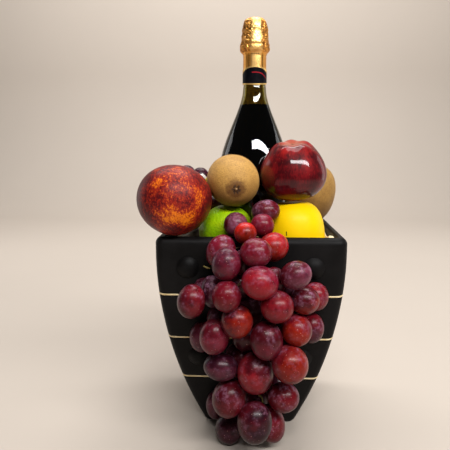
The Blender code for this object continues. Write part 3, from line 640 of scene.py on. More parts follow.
class Finish(Sheet):
    """A Principled material being built: colours laid one over another, constants set on the shader."""

    def __init__(self, name, base, **shader_inputs):
        self.material = bpy.data.materials.new(name)
        self.material.use_nodes = True
        super().__init__(self.material.node_tree)
        self.shader = self.tree.nodes["Principled BSDF"]
        self.place = self.put("ShaderNodeTexCoord").outputs["Object"]
        self.colour = base
        self.give(**shader_inputs)

    def give(self, **shader_inputs):
        """Set or join the shader's inputs, named in small letters with underscores."""
        sockets = {socket.name.lower().replace(" ", "_"): socket.name for socket in self.shader.inputs}
        for label, value in shader_inputs.items():
            value = self.tint(value) if label.endswith(("color", "tint")) else value
            self.join(self.shader, {sockets[label]: value})

    def effect(self, group, place=None, **numbers):
        """What a shared group gives here."""
        inputs = {"Place": place or self.place, **numbers}
        return self.put("ShaderNodeGroup", inputs, node_tree=group).outputs[0]

    def mottle(self, size, low=0.4, high=0.6, place=None):
        """Cloudy patches."""
        return self.effect(mottle_group(), place, Size=size, Low=low, High=high)

    def dots(self, spacing, share):
        """Small round dots."""
        return self.effect(dots_group(), Spacing=spacing, Share=share)

    def pores(self, size):
        """Tiny pits."""
        return self.effect(pores_group(), Size=size)

    def streaks(self, scale, detail, rough):
        """Noise drawn out along a fruit's lines from end to end."""
        return self.noise(1.0, detail, rough, self.stretch(scale, place=self.mark("lines", "Vector")))

    def lay(self, share, colour, amount=1.0):
        """Lay a colour over what is there, by a share times an amount."""
        share = share if amount == 1.0 else self.times(share, amount)
        self.colour = self.blend(share, self.colour, colour)

    def done(self, height=None, depth=0.0, strength=1.0, **shader_inputs):
        """The material, with its colour and with a height in metres as fine relief."""
        if height is not None:
            bump = self.put("ShaderNodeBump", {"Height": height, "Distance": depth, "Strength": strength})
            shader_inputs["normal"] = bump.outputs[0]
        self.give(base_color=self.colour, **shader_inputs)
        return self.material


def pot_finish(settings):
    """Matt black glaze: cloudy dullness, a fine grain and faint dust."""
    black = np.array(settings.black)
    finish = Finish("pot_black", black * 0.8, specular_ior_level=0.10)
    cloud = finish.mottle(0.03, 0.3, 0.7)
    finish.lay(cloud, black * 1.5)
    finish.lay(finish.dots(0.0035, 0.05), (0.09, 0.085, 0.08))
    dull = finish.plus(cloud, finish.mottle(0.0012, 0.3, 0.75))
    rough = finish.ease(dull, 0.0, 2.0, settings.rough - 0.06, settings.rough + 0.10)
    return finish.done(finish.pores(0.0009), 0.00005, 0.5, roughness=rough)


def line_finish(settings):
    """Cream inlay: slightly uneven in colour, as a drawn line of thick paint is."""
    cream = np.array(settings.cream)
    finish = Finish("line_cream", cream, roughness=0.38)
    finish.lay(finish.mottle(0.006), cream * (0.86, 0.78, 0.62))
    return finish.done(finish.noise(900.0), 0.00006, 0.6)


def glass_finish(settings):
    """Dark olive bottle glass."""
    glass = np.array(settings.glass)
    finish = Finish("bottle_green_glass", glass, roughness=0.02, ior=1.58, transmission_weight=1.0)
    finish.lay(finish.mottle(0.05), glass * 0.92)
    return finish.done(finish.noise(30.0, detail=1.0), 0.0004, 0.08)


def wine_finish(settings):
    """Wine so deep that little light comes back from it."""
    wine = np.array(settings.wine)
    finish = Finish("wine_dark", wine, roughness=0.30, specular_ior_level=0.0)
    finish.lay(finish.mottle(0.04), wine * 1.6)
    return finish.done()


def foil_finish(settings):
    """Gold foil: bright and pale on its ridges, with painted shade that makes it orange-brown in its creases,
    dark in its crushed pits and deeper orange on its sides, finely crinkled and pricked.
    """
    gold = np.array(settings.gold)
    finish = Finish("gold_foil", gold, metallic=0.82)
    deep = finish.ease("crease", 0.10, 0.75)
    fine = finish.mottle(0.0020, 0.35, 0.65)
    finish.lay(fine, gold * (0.92, 0.72, 0.45), 0.35)
    # Painted shade: the sides away from the calm front patch, by the aside mark, are laid deeper orange.
    finish.lay(finish.ease("aside", 0.20, 0.90, 0.0, 0.80), (0.78, 0.31, 0.036))
    # Painted shade: orange-brown, then near black, by the depth of each crease.
    finish.lay(deep, settings.gold_deep)
    finish.lay(finish.ease("crease", 0.80, 1.0), (0.10, 0.035, 0.006), 0.8)
    # Painted shade: dark pits scattered over the crushed part.
    spots = finish.times(finish.mottle(0.0019, 0.54, 0.62), finish.ease("crush", 0.3, 0.8))
    finish.lay(spots, (0.13, 0.045, 0.007), 0.85)
    finish.lay(finish.ease("from_prick", 0.00085, 0.00045), (0.16, 0.06, 0.012))
    rough = finish.plus(finish.ease(fine, 0.0, 1.0, 0.30, 0.44), finish.times(deep, 0.10))
    crinkle = finish.ease(finish.cells(340.0, "DISTANCE_TO_EDGE")["Distance"], 0.0, 0.35)
    return finish.done(finish.times(crinkle, "crush"), 0.0005, 0.85, roughness=rough)


def label_finish(settings):
    """Black label paper with a gold line along each edge and a curved red stripe."""
    finish = Finish("label_black", settings.label, specular_ior_level=0.05)
    finish.lay(finish.mottle(0.004), np.array(settings.label) * 1.6)
    finish.lay(finish.ease("from_stripe", 0.00065, 0.00045), settings.stripe)
    gold = finish.ease("from_edge", 0.00130, 0.00110)
    finish.lay(gold, settings.gold)
    rough = finish.ease(finish.mottle(0.0015), 0.0, 1.0, 0.30, 0.42)
    height = finish.plus(gold, finish.noise(1500.0))
    return finish.done(height, 0.00005, 0.4, roughness=rough, metallic=finish.times(gold, 0.7))


def paper_finish(settings):
    """Crumpled cream paper: painted shade makes it warmer and darker in the valleys of its folds and near
    black low down, with fibres.
    """
    paper = np.array(settings.paper)
    finish = Finish("cream_paper", paper * (1.0, 0.72, 0.40), roughness=0.62, subsurface_weight=0.08,
                    subsurface_radius=(0.004, 0.003, 0.002))
    # Painted shade: the valleys of the crumple keep the warmer, darker base colour and the ridges turn cream.
    finish.lay(finish.ease("fold", 0.1, 0.9), paper)
    finish.lay(finish.mottle(0.008, 0.45, 0.7), (0.90, 0.84, 0.70))
    # Painted shade: near black where the deep mark is high.
    finish.lay("deep", paper * (0.08, 0.055, 0.03), 0.95)
    fibre = finish.noise(1.0, detail=4.0, place=finish.stretch((900, 300, 900)))
    return finish.done(fibre, 0.00012, 0.5)


def nectarine_finish(settings):
    """Dark red skin broken by orange flecks, most where the sun ripened it."""
    finish = Finish("nectarine", settings.nectarine_dark, coat_weight=0.04, coat_roughness=0.35,
                    specular_ior_level=0.17)
    cloud = finish.noise(95.0, detail=4.0, rough=0.62)
    fleck = finish.noise(470.0, detail=5.0, rough=0.8, place=finish.stretch((1, 1, 0.7)))
    level = finish.plus(finish.plus("ripe", finish.swing(cloud, 1.1)), finish.swing(fleck, 3.3))
    finish.lay(finish.ease(level, -0.20, 0.40), settings.nectarine)
    finish.lay(finish.ease(level, 0.38, 0.80), settings.nectarine_glow)
    finish.lay(finish.ease(level, 0.85, 1.30), (0.88, 0.30, 0.015))
    finish.lay(finish.dots(0.0018, 0.25), (0.70, 0.22, 0.06), 0.25)
    return finish.done(finish.pores(0.0009), 0.00006, 0.5, roughness=finish.ease(cloud, 0.3, 0.7, 0.38, 0.50))


def kiwi_finish(name, settings, shade=1.0):
    """Matt brown skin: blotches, fine streaks running from the eye, a dark ring round the eye, and painted
    shade on its lower part.
    """
    skin, dark = np.array(settings.kiwi) * shade, np.array(settings.kiwi_dark) * shade
    finish = Finish(name, skin, roughness=0.62, specular_ior_level=0.3, sheen_weight=0.10,
                    sheen_roughness=0.5, sheen_tint=(0.9, 0.62, 0.30))
    finish.lay(finish.mottle(0.009, 0.40, 0.66), dark, 0.62)
    finish.lay(finish.ease(finish.streaks((24, 24, 20), 5.0, 0.7), 0.42, 0.66), dark, 0.75)
    finish.lay(finish.mottle(0.0009, 0.34, 0.66), skin * (1.30, 1.27, 1.2), 0.50)
    # Painted shade: the lower part of the skin, by the under mark, is laid darker brown.
    finish.lay("under", dark * (0.42, 0.36, 0.25), 0.7)
    finish.lay(finish.dots(0.0021, 0.26), (0.20, 0.085, 0.018), 0.75)
    ring = finish.ease(finish.plus("from_eye", finish.swing(finish.noise(420.0), 0.009)), 0.0118, 0.0062)
    finish.lay(ring, (0.12, 0.045, 0.010), 0.85)
    return finish.done(finish.pores(0.0010), 0.00014, 0.8)


def kiwi_hair_finish(name, settings, shade=1.0):
    """Short dry hairs, a little darker than the skin."""
    skin = np.array(settings.kiwi) * shade
    finish = Finish(name, skin * (0.80, 0.68, 0.48), roughness=0.6)
    finish.lay(finish.mottle(0.002), skin * (0.42, 0.34, 0.22))
    return finish.done()


def kiwi_eye_finish():
    """Dry brown sepals round a paler nub."""
    finish = Finish("kiwifruit_eye", (0.055, 0.022, 0.008), roughness=0.85)
    finish.lay("nub", (0.34, 0.19, 0.07))
    finish.lay(finish.mottle(0.0009), (0.03, 0.012, 0.005), 0.5)
    return finish.done(finish.noise(1800.0), 0.0001, 0.7)


def lime_finish(settings):
    """Bright green rind with oil pores, yellower in patches."""
    lime = np.array(settings.lime)
    finish = Finish("green_citrus", lime, roughness=0.34, specular_ior_level=0.16, subsurface_weight=0.06,
                    subsurface_scale=0.6, subsurface_radius=(0.004, 0.006, 0.001))
    finish.lay(finish.mottle(0.018, 0.35, 0.7), lime * (1.55, 1.12, 1.0))
    finish.lay(finish.dots(0.0021, 0.4), lime * (0.50, 0.62, 0.5), 0.5)
    return finish.done(finish.pores(0.0019), 0.00032, 0.9)


def red_finish(settings):
    """Glossy dark red skin: fine flecks from end to end, redder near its crown, with pale dots."""
    red = np.array(settings.red)
    finish = Finish("red_pome", red * (0.30, 0.5, 0.5), coat_weight=0.65, coat_roughness=0.075,
                    roughness=0.45, coat_ior=1.45, specular_ior_level=0.08)
    streak, cloud = finish.streaks((26, 26, 16), 6.0, 0.75), finish.noise(62.0, detail=4.0, rough=0.6)
    mixed = finish.plus(finish.times(streak, 0.40), finish.times(cloud, 0.60))
    finish.lay(finish.ease(mixed, 0.38, 0.62), red)
    high = finish.ease("height", -0.25, 0.85)
    finish.lay(finish.times(finish.ease(mixed, 0.42, 0.68), high), red * (2.6, 4.5, 1.6))
    dot = finish.times(finish.dots(0.0030, 0.14), finish.ease(high, 0.0, 1.0, 0.25, 0.8))
    finish.lay(dot, (0.55, 0.22, 0.12))
    finish.lay(finish.ease("height", 0.86, 0.97), (0.50, 0.10, 0.05), 0.55)
    hollow = finish.times(finish.ease("height", 0.95, 0.995), finish.ease(finish.noise(700.0), 0.35, 0.7))
    finish.lay(hollow, (0.20, 0.07, 0.02), 0.7)
    return finish.done(finish.noise(75.0), 0.0012, 0.10)


def yellow_finish(settings):
    """Smooth bright yellow skin with one short dark line."""
    yellow = np.array(settings.yellow)
    finish = Finish("yellow_pome", yellow, roughness=0.45, specular_ior_level=0.12, coat_weight=0.04,
                    coat_roughness=0.25)
    finish.lay(finish.mottle(0.03, 0.35, 0.75), yellow * (1.0, 0.93, 1.0))
    finish.lay(finish.dots(0.0028, 0.10), yellow * (0.8, 0.6, 1.0), 0.5)
    finish.lay(finish.ease("from_nick", 0.0007, 0.0003), (0.06, 0.03, 0.005))
    return finish.done(finish.noise(260.0), 0.0003, 0.08)


def grape_finish(name, settings, bloom_share=1.0):
    """Thin tight skin: each grape's own tone, mottled, with a painted glow of light through it, patches of
    waxy bloom laid thicker on top as painted sheen, and pale dots.
    """
    finish = Finish(name, "tone", coat_weight=0.05, coat_roughness=0.16, subsurface_weight=0.12,
                    subsurface_scale=0.4, subsurface_radius=(0.008, 0.002, 0.0015), specular_ior_level=0.19)
    lit = finish.plus("lit", finish.times(finish.mottle(0.0085, 0.36, 0.66), 0.45))
    # Painted light: the glow colour is laid where the lit mark is high, as light shining through the skin.
    finish.lay(finish.ease(lit, 0.35, 1.15), "glow")
    darker = finish.blend(1.0, finish.colour, (0.40, 0.30, 0.42), "MULTIPLY")
    finish.lay(finish.mottle(0.0060, 0.50, 0.74, finish.stretch(move=(0.11, 0.42, 0.23))), darker, 0.9)
    finish.lay(finish.mottle(0.0016, 0.35, 0.70), darker, 0.30)
    cloud = finish.mottle(0.0070, 0.47, 0.64, finish.stretch(move=(0.31, 0.17, 0.05)))
    thin = finish.mottle(0.0024, 0.30, 0.70, finish.stretch(move=(0.07, 0.27, 0.55)))
    # The bloom mark is each grape's own random bloom and, on the front grapes, painted sheen on their tops.
    bloom = finish.times(finish.times(cloud, thin), "dusty")
    bloom = finish.times(bloom, settings.bloom_amount * bloom_share * 2.1)
    finish.lay(bloom, settings.bloom)
    finish.lay(finish.dots(0.0023, 0.19), (0.60, 0.32, 0.28), 0.8)
    finish.lay(finish.ease("from_stem", 0.0016, 0.0008), (0.12, 0.07, 0.02))
    rough = finish.ease(bloom, 0.0, 0.4, 0.30, 0.52)
    return finish.done(finish.noise(170.0, detail=2.0), 0.0007, 0.16, roughness=rough)


def stem_finish(settings):
    """Dry green-brown stalk, with painted shade where no light reaches it."""
    stem = np.array(settings.stem)
    finish = Finish("grape_stem", stem, roughness=0.6)
    finish.lay(finish.mottle(0.004), stem * (0.62, 0.42, 0.5))
    finish.lay(finish.dots(0.0012, 0.3), (0.10, 0.05, 0.015))
    # Painted shade: the stalks that don't show are laid much darker; those marked shown keep their colour.
    finish.colour = finish.blend("shown", stem * (0.22, 0.14, 0.16), finish.colour)
    return finish.done(finish.noise(1400.0), 0.0002, 0.6)


def floor_finish(settings):
    """Plain pale floor."""
    floor = np.array(settings.floor)
    finish = Finish("floor_pale", floor, roughness=0.75, specular_ior_level=0.25)
    finish.lay(finish.mottle(0.6, 0.3, 0.7), floor * 0.975)
    return finish.done()


# ---- pot

def pot_half(height):
    """Half the pot's width: full near the rim, drawn in to the base on a smooth curve."""
    down = np.maximum(0.0, 1.0 - np.asarray(height, dtype=float) / FULL_WIDTH_HEIGHT)
    return POT_HALF - (POT_HALF - BASE_HALF) * down ** FLARE_POWER


def pot_inner_half(height):
    """Half the width inside the pot's wall."""
    return pot_half(height) - WALL


def corner_radius(height):
    """Radius of the pot's upright edges, which tighten towards the base."""
    share = np.minimum(1.0, np.asarray(height, dtype=float) / FULL_WIDTH_HEIGHT)
    return BASE_CORNER_RADIUS + (CORNER_RADIUS - BASE_CORNER_RADIUS) * share


def make_pot(settings):
    """The pot: square rings from its inner floor up, over the rounded rim, down the outside and under."""
    rows = [(share * pot_inner_half(WALL), INNER_CORNER_RADIUS * share, WALL) for share in (0.3, 0.6, 0.97)]
    for height in np.linspace(WALL + 0.002, POT_HEIGHT - RIM_INNER_ROUND - 0.004, 24):
        rows.append((pot_inner_half(height), INNER_CORNER_RADIUS, height))
    for angle in np.radians(np.linspace(0, 90, 7)):
        inset = RIM_INNER_ROUND * (1 - math.cos(angle))
        rows.append((POT_HALF - WALL + inset, INNER_CORNER_RADIUS + inset,
                     POT_HEIGHT - RIM_INNER_ROUND * (1 - math.sin(angle))))
    for angle in np.radians(np.linspace(0, 90, 9)):
        inset = RIM_OUTER_ROUND * (1 - math.sin(angle))
        rows.append((POT_HALF - inset, CORNER_RADIUS - inset,
                     POT_HEIGHT - RIM_OUTER_ROUND * (1 - math.cos(angle))))
    sections = [(height, 0.0) for height in np.linspace(POT_HEIGHT - RIM_OUTER_ROUND - 0.003, 0.0032, 58)]
    for line in LINE_HEIGHTS.values():
        sections = [part for part in sections if abs(part[0] - line) > GROOVE_TALL]
        for side in (1, -1):
            sections.append((line + side * (GROOVE_TALL / 2 + 0.0003), 0.0))
            sections.append((line + side * GROOVE_TALL / 2, 0.0002))
            sections.append((line + side * (GROOVE_TALL / 2 - 0.00015), GROOVE_DEEP))
    for height, inset in sorted(sections, reverse=True):
        rows.append((pot_half(height) - inset, corner_radius(height) - inset, height))
    for angle in np.radians((20, 45, 70, 90)):
        inset = FOOT_ROUND * (1 - math.cos(angle))
        rows.append((BASE_HALF - inset, BASE_CORNER_RADIUS - inset, FOOT_ROUND * (1 - math.sin(angle))))
    rows += [(share * BASE_HALF, BASE_CORNER_RADIUS * share, 0.0) for share in (0.75, 0.4)]
    rings = square_rings(*zip(*rows))
    points = np.vstack([[(0, 0, WALL)], rings.reshape(-1, 3), [(0, 0, 0)]])
    put_piece("pot_shell", points, globe_faces(*rings.shape[:2]), pot_finish(settings), replaces=("pot",),
              slot="pot_black", sharp=38)


def make_lines(settings):
    """Each line: rings round the pot that follow a rounded flat section laid in its groove."""
    finish = line_finish(settings)
    angles = np.radians(np.arange(0, 360, 30))
    back, front = GROOVE_DEEP - GAP, LINE_PROUD
    out = np.clip(np.cos(angles) * 1.4, -1, 1) * (back + front) / 2 + (front - back) / 2
    up = np.clip(np.sin(angles) * 1.15, -1, 1) * LINE_TALL / 2
    for name, height in LINE_HEIGHTS.items():
        levels = height + up
        rings = square_rings(pot_half(levels) + out, corner_radius(levels) + out, levels)
        put_piece(name + "_inlay", rings.reshape(-1, 3), band_faces(*rings.shape[:2]), finish,
                  replaces=(name,), slot="line_cream")


def make_studs(settings):
    """Low domes: an arc turned round its axis, laid on the slope of the front wall."""
    finish = pot_finish(settings)
    arc_radius = (STUD_RADIUS ** 2 + STUD_RISE ** 2) / (2 * STUD_RISE)
    angles = np.linspace(0.0, math.asin(STUD_RADIUS / arc_radius), 14)
    outline = np.stack([arc_radius * np.sin(angles), STUD_RISE - arc_radius * (1 - np.cos(angles))], axis=-1)
    outline = np.vstack([outline, [(STUD_RADIUS - 0.0004, 0.0), (0.0, 0.0)]])
    for row, (across, height) in STUD_ROWS.items():
        run = float(pot_half(height + STUD_RADIUS) - pot_half(height - STUD_RADIUS))
        turn = np.array(Matrix.Rotation(math.radians(90) + math.atan2(run, 2 * STUD_RADIUS), 3, "X"))
        for side, sign in (("left", -1), ("right", 1)):
            points, faces = turned(outline, 40)
            points = points @ turn.T + (sign * across, float(-pot_half(height)) - SNUG, height)
            name = f"stud_{row}_{side}"
            put_piece(name + "_dome", points, faces, finish, replaces=(name,), slot="pot_black", sharp=50)


# ---- bottle

def shoulder(share):
    """Radius and height on the bottle's shoulder, a cubic curve from body to neck."""
    back = 1.0 - share
    radius = BODY_RADIUS * (back ** 3 + 3 * back ** 2 * share)
    radius = radius + NECK_RADIUS * (3 * back * share ** 2 + share ** 3)
    height = SHOULDER_START * back ** 3 + (SHOULDER_START + SHOULDER_PULL_LOW) * 3 * back ** 2 * share
    height = height + (SHOULDER_END - SHOULDER_PULL_HIGH) * 3 * back * share ** 2 + SHOULDER_END * share ** 3
    return np.stack([radius, height], axis=-1)


def body_outline():
    """The bottle's outer side from the end of the shoulder down to the heel."""
    curve = shoulder(np.linspace(1.0, 0.0, 48))
    side = [(BODY_RADIUS, height) for height in (0.232, 0.215, 0.195, 0.17, 0.14)]
    angles = np.radians(np.linspace(0, 90, 8))
    heel = np.stack([BODY_RADIUS - HEEL_ROUND * (1 - np.cos(angles)),
                     BOTTLE_BASE + HEEL_ROUND * (1 - np.sin(angles))], axis=-1)
    return np.vstack([curve, side, heel])


def inside_of(outline, wall):
    """The outline moved in square to itself by the wall, kept above the base by the wall."""
    along = np.gradient(outline, axis=0)
    moved = outline + unit_rows(np.stack([along[:, 1], -along[:, 0]], axis=-1)) * wall
    moved[:, 1] = np.maximum(moved[:, 1], BOTTLE_BASE + wall)
    moved[:, 0] = np.clip(moved[:, 0], 0.001, None)
    return moved


def make_glass(settings):
    """The glass: up the inside from its floor, over the mouth and down the outside, turned."""
    neck = smooth_path([
        (BORE_RADIUS + 0.0010, MOUTH - 0.0002), (SLEEVED_NECK_RADIUS, MOUTH - 0.001),
        (COLLAR_RADIUS - 0.0006, COLLAR_TOP), (COLLAR_RADIUS, 0.4010), (COLLAR_RADIUS - 0.0006, COLLAR_LOW),
        (SLEEVED_NECK_RADIUS, COLLAR_LOW - 0.0012), (SLEEVED_NECK_RADIUS, 0.380),
        (SLEEVED_NECK_RADIUS, FOIL_LOW), (NECK_RADIUS - 0.0002, LABEL_LOW - 0.004),
    ], 4)
    body = body_outline()
    inner = inside_of(body, GLASS_WALL)
    bore = np.array([(BORE_RADIUS, MOUTH - 0.001), (BORE_RADIUS, 0.385), (BORE_RADIUS, LABEL_LOW + 0.004)])
    floor = BOTTLE_BASE + GLASS_WALL
    outline = np.vstack([[(0.0, floor), (BASE_RING, floor)], inner[::-1], bore[::-1], neck, body,
                         [(BASE_RING, BOTTLE_BASE), (0.0, BOTTLE_BASE)]])
    points, faces = turned(outline, BOTTLE_COLUMNS, (BOTTLE_X, BOTTLE_Y))
    put_piece("bottle_wall", points, faces, glass_finish(settings), replaces=("bottle_glass",),
              slot="bottle_green_glass")


def make_wine(settings):
    """The wine: the bottle's inside up to its level, a little into the wall so that no air shows."""
    side = inside_of(body_outline(), GLASS_WALL - WINE_INTO_WALL)
    side = side[side[:, 1] < WINE_LEVEL - 0.0004]
    radius, floor = side[0, 0], BOTTLE_BASE + GLASS_WALL - WINE_INTO_WALL
    top = [(0.0, WINE_LEVEL), (radius * 0.6, WINE_LEVEL), (radius - 0.0008, WINE_LEVEL),
           (radius, WINE_LEVEL + 0.0002)]
    outline = np.vstack([top, side, [(BASE_RING, floor), (0.0, floor)]])
    points, faces = turned(outline, BOTTLE_COLUMNS, (BOTTLE_X, BOTTLE_Y))
    put_piece("wine_fill", points, faces, wine_finish(settings), replaces=("wine",), slot="wine_dark")


def from_front(around):
    """The angle to the right of the front, from -pi to pi."""
    return (around + np.pi / 2 + np.pi) % (2 * np.pi) - np.pi


def make_foil(settings):
    """The foil cap: a turned outline whose radius gives way to creases, deepest over the cork and cage."""
    dome = [(0.0, FOIL_TOP), (0.0050, FOIL_TOP - 0.0002), (0.0098, FOIL_TOP - 0.0016),
            (0.0129, FOIL_TOP - 0.0050), (FOIL_DOME_RADIUS + 0.0001, FOIL_TOP - 0.0098),
            (FOIL_DOME_RADIUS + 0.0005, 0.4130), (FOIL_DOME_RADIUS + 0.0010, 0.4085),
            (FOIL_RING_RADIUS - 0.0008, 0.4025)]
    cage = [(FOIL_RING_RADIUS - 0.0002, 0.3990), (FOIL_RING_RADIUS, 0.3965),
            (FOIL_RING_RADIUS - 0.0004, 0.3942), (FOIL_RING_RADIUS - 0.0020, 0.3922),
            (FOIL_SLEEVE_RADIUS + 0.0008, 0.3908), (FOIL_SLEEVE_RADIUS, 0.3888)]
    sleeve = [(FOIL_SLEEVE_RADIUS, height) for height in (0.3850, 0.3780, 0.3700, FOIL_LOW)]
    outer = smooth_path(dome + cage + sleeve, 13)
    inside = FOIL_SLEEVE_RADIUS - FOIL_THICK
    room = COLLAR_RADIUS + GAP
    inner = np.array([(inside, FOIL_LOW), (inside, COLLAR_LOW - 0.002), (room, COLLAR_LOW - 0.0005),
                      (room, MOUTH + GAP), (CORK_RADIUS, MOUTH + GAP), (CORK_RADIUS, CORK_LOW),
                      (0.0, CORK_LOW)])
    points, faces = turned(np.vstack([outer, inner]), FOIL_COLUMNS, (BOTTLE_X, BOTTLE_Y))
    flat = points[:, :2] - (BOTTLE_X, BOTTLE_Y)
    height = points[:, 2]
    around = np.arctan2(flat[:, 1], flat[:, 0])
    outside = np.zeros(len(points), dtype=bool)
    outside[:1 + (len(outer) - 1) * FOIL_COLUMNS] = True
    crushed = np.clip((height - CRUSH_LOW) / 0.003, 0, 1)
    crushed *= np.clip((FOIL_TOP + 0.0005 - height) / 0.006, 0.08, 1)
    place = np.stack([np.cos(around) * FOLD_REACH, np.sin(around) * FOLD_REACH, height * 0.70], axis=-1)
    folds = np.abs(waves(place, 0.0090, 3)) ** 0.7 + 0.8 * np.abs(waves(place, 0.0042, 8)) ** 0.8
    dents = np.maximum(0.0, waves(place, 0.0080, 21)) ** 2
    front = from_front(around)
    calm = 1 - 0.86 * np.exp(-((front - CALM_TURN) / 0.48) ** 4)
    from_arch = np.hypot((front - CALM_TURN) * FOLD_REACH, height - ARCH_MIDDLE) - ARCH_RADIUS
    arch = np.exp(-(from_arch / 0.0007) ** 2)
    roll = np.exp(-((height - ROLL_HEIGHT) / 0.0011) ** 2) * np.exp(-(front / 0.9) ** 4)
    depth = calm * (1.05 * folds + 1.0 * dents) + 0.55 * arch * (1 - calm) + 0.8 * roll
    sink = settings.crush * crushed * depth
    pleats = 0.5 + 0.5 * np.sin(21 * around + 2.5 * waves(place, 0.02, 5))
    sink += 0.00012 * pleats * np.clip((0.3905 - height) / 0.003, 0, 1) * calm
    sink[~outside] = 0.0
    radius = np.hypot(flat[:, 0], flat[:, 1])
    keep = np.where(radius > 1e-6, 1 - sink / np.maximum(radius, 1e-6), 1.0)
    points[:, :2] = (BOTTLE_X, BOTTLE_Y) + flat * keep[:, None]
    crease = np.clip(sink / (settings.crush * 1.5 + 1e-9) - 0.30, 0, 1) * outside
    step = PRICK_ACROSS / FOIL_SLEEVE_RADIUS
    from_row = np.abs((front / step + 0.5) % 1.0 - 0.5) * PRICK_ACROSS
    row = np.hypot(from_row, height - PRICK_ROW) + 0.01 * (np.abs(front) > 0.40)
    from_column = np.abs((height / PRICK_UP) % 1.0 - 0.5) * PRICK_UP
    side = np.minimum(np.abs(front - 0.73), np.abs(front + 0.52))
    column = np.hypot(from_column, side * FOIL_SLEEVE_RADIUS) + 0.01 * (height > 0.390)
    marks = {"crease": crease, "crush": np.clip(crushed * calm + 0.08, 0, 1) * outside,
             "from_prick": np.where(outside, np.minimum(row, column), 0.01), "aside": calm}
    put_piece("foil_cap", points, faces, foil_finish(settings), marks=marks, replaces=("bottle_foil",),
              slot="gold_foil")


def make_label(settings):
    """The neck label: a closed band whose upper edge rises and lower edge dips at the front."""
    inside = FOIL_SLEEVE_RADIUS + GAP
    rows, inner_rows, columns = 24, 6, 144
    around = 2 * np.pi * np.arange(columns) / columns
    front = 0.5 - 0.5 * np.sin(around)
    top = LABEL_TOP + LABEL_TOP_ARCH * front ** 2
    low = LABEL_LOW - LABEL_LOW_ARCH * front ** 2
    share = np.concatenate([np.linspace(1, 0, rows), np.linspace(0, 1, inner_rows)])[:, None]
    radius = np.concatenate([np.full(rows, LABEL_RADIUS), np.full(inner_rows, inside)])[:, None]
    height = low + (top - low) * share
    points = np.stack([BOTTLE_X + radius * np.cos(around), BOTTLE_Y + radius * np.sin(around), height],
                      axis=-1)
    line = top - 0.0034 * np.clip(2 - 2 * front, 0, 1) ** 1.5
    from_edge = np.minimum(line - height, height - low)
    along = from_front(around) * LABEL_RADIUS
    arc = top - 0.0064 - 28 * np.maximum(0.0, along - 0.004) ** 2
    ends = np.maximum(0.0, np.maximum(-0.0030 - along, along - 0.0148))
    from_stripe = np.abs(height - arc) + ends
    put_piece("label_band", points.reshape(-1, 3), band_faces(rows + inner_rows, columns),
              label_finish(settings), replaces=("neck_label",), slot="label_black", sharp=50,
              marks={"from_edge": from_edge.ravel(), "from_stripe": from_stripe.ravel()})


# ---- fruit

def fruit_turn(turn):
    """Rotation from three angles in degrees, about X, then Y, then Z."""
    x, y, z = (math.radians(angle) for angle in turn)
    whole = Matrix.Rotation(z, 3, "Z") @ Matrix.Rotation(y, 3, "Y") @ Matrix.Rotation(x, 3, "X")
    return np.array(whole)


def fruit_points(unit, form):
    """A fruit of unit half-size: a globe filled out by a power, tapered, with tips, dimples and lobes."""
    across = np.hypot(unit[:, 0], unit[:, 1])
    around = np.arctan2(unit[:, 1], unit[:, 0])
    rise = unit[:, 2]
    fullness = (across ** form.square + np.abs(rise) ** form.square) ** (-1 / form.square)
    wide = across * fullness * (1 + form.taper * rise)
    tall = rise * fullness * (1 + form.tips * np.abs(rise) ** 10)
    from_top = np.arccos(np.clip(rise, -1, 1))
    from_base = np.pi - from_top
    tall = tall - form.top_dimple * np.exp(-(from_top / 0.38) ** 2)
    tall = tall + form.base_dimple * np.exp(-(from_base / 0.34) ** 2)
    crown = np.exp(-((from_base - 0.62) / 0.30) ** 2)
    tall = tall - form.lobes * crown * (0.5 + 0.5 * np.cos(5 * around))
    return np.stack([wide * np.cos(around), wide * np.sin(around), tall], axis=-1)


def fruit_skin(name, unit, uneven=0.0):
    """Points of a named fruit in place, with unevenness of its radius in metres."""
    fruit = FRUITS[name]
    local = fruit_points(unit, fruit.form) * np.array(fruit.size) / 2
    if uneven:
        local = local * (1 + uneven * waves(unit, 1.3, len(name))[:, None])
    return local @ fruit_turn(fruit.turn).T + fruit.centre


def near_patches(name, points, patches):
    """How near points of a fruit are to patches, each with a front view place, spread and strength."""
    fruit = FRUITS[name]
    depth = fruit.centre[1] - min(fruit.size) * 0.42
    total = np.zeros(len(points))
    for across, down, spread, strength in patches:
        middle = sight(across, down, depth)[0]
        total += strength * np.exp(-(np.linalg.norm(points - middle, axis=1) / spread) ** 2)
    return total


def put_skin(name, ending, points, grid, finish, marks=None):
    """A large fruit's skin, on a globe of so many rows and columns, in the place of its solid."""
    put_piece(name + ending, points, globe_faces(*grid), finish, marks=marks, replaces=(name,), slot=name)


def make_nectarine(settings):
    """The nectarine: a filled globe with a stem dimple, and a mark of where it ripened orange, lowered on its
    far left side as painted shade.
    """
    grid = (90, 120)
    points = fruit_skin("nectarine", globe(*grid), 0.006)
    near = near_patches("nectarine", points, RIPE_PATCHES)
    ripe = near + 0.16 * waves(points, 0.022, 12) + 0.02
    # Painted shade: less orange, so darker red, on the far left side.
    ripe -= 0.30 * np.clip((-0.085 - points[:, 0]) / 0.02, 0, 1)
    put_skin("nectarine", "_skin", points, grid, nectarine_finish(settings), {"ripe": ripe})


def spiral(count):
    """Unit points spread evenly over a globe, along a spiral from the top down."""
    number = np.arange(count)
    rise = 1 - 2 * (number + 0.5) / count
    around = number * np.pi * (3 - math.sqrt(5))
    ring = np.sqrt(1 - rise ** 2)
    return np.stack([ring * np.cos(around), ring * np.sin(around), rise], axis=-1)


def scattered_unit(count, seed):
    """The same points with a small seeded shake."""
    shake = np.random.default_rng(seed).normal(scale=1.2 / math.sqrt(count), size=(count, 3))
    return unit_rows(spiral(count) + shake)


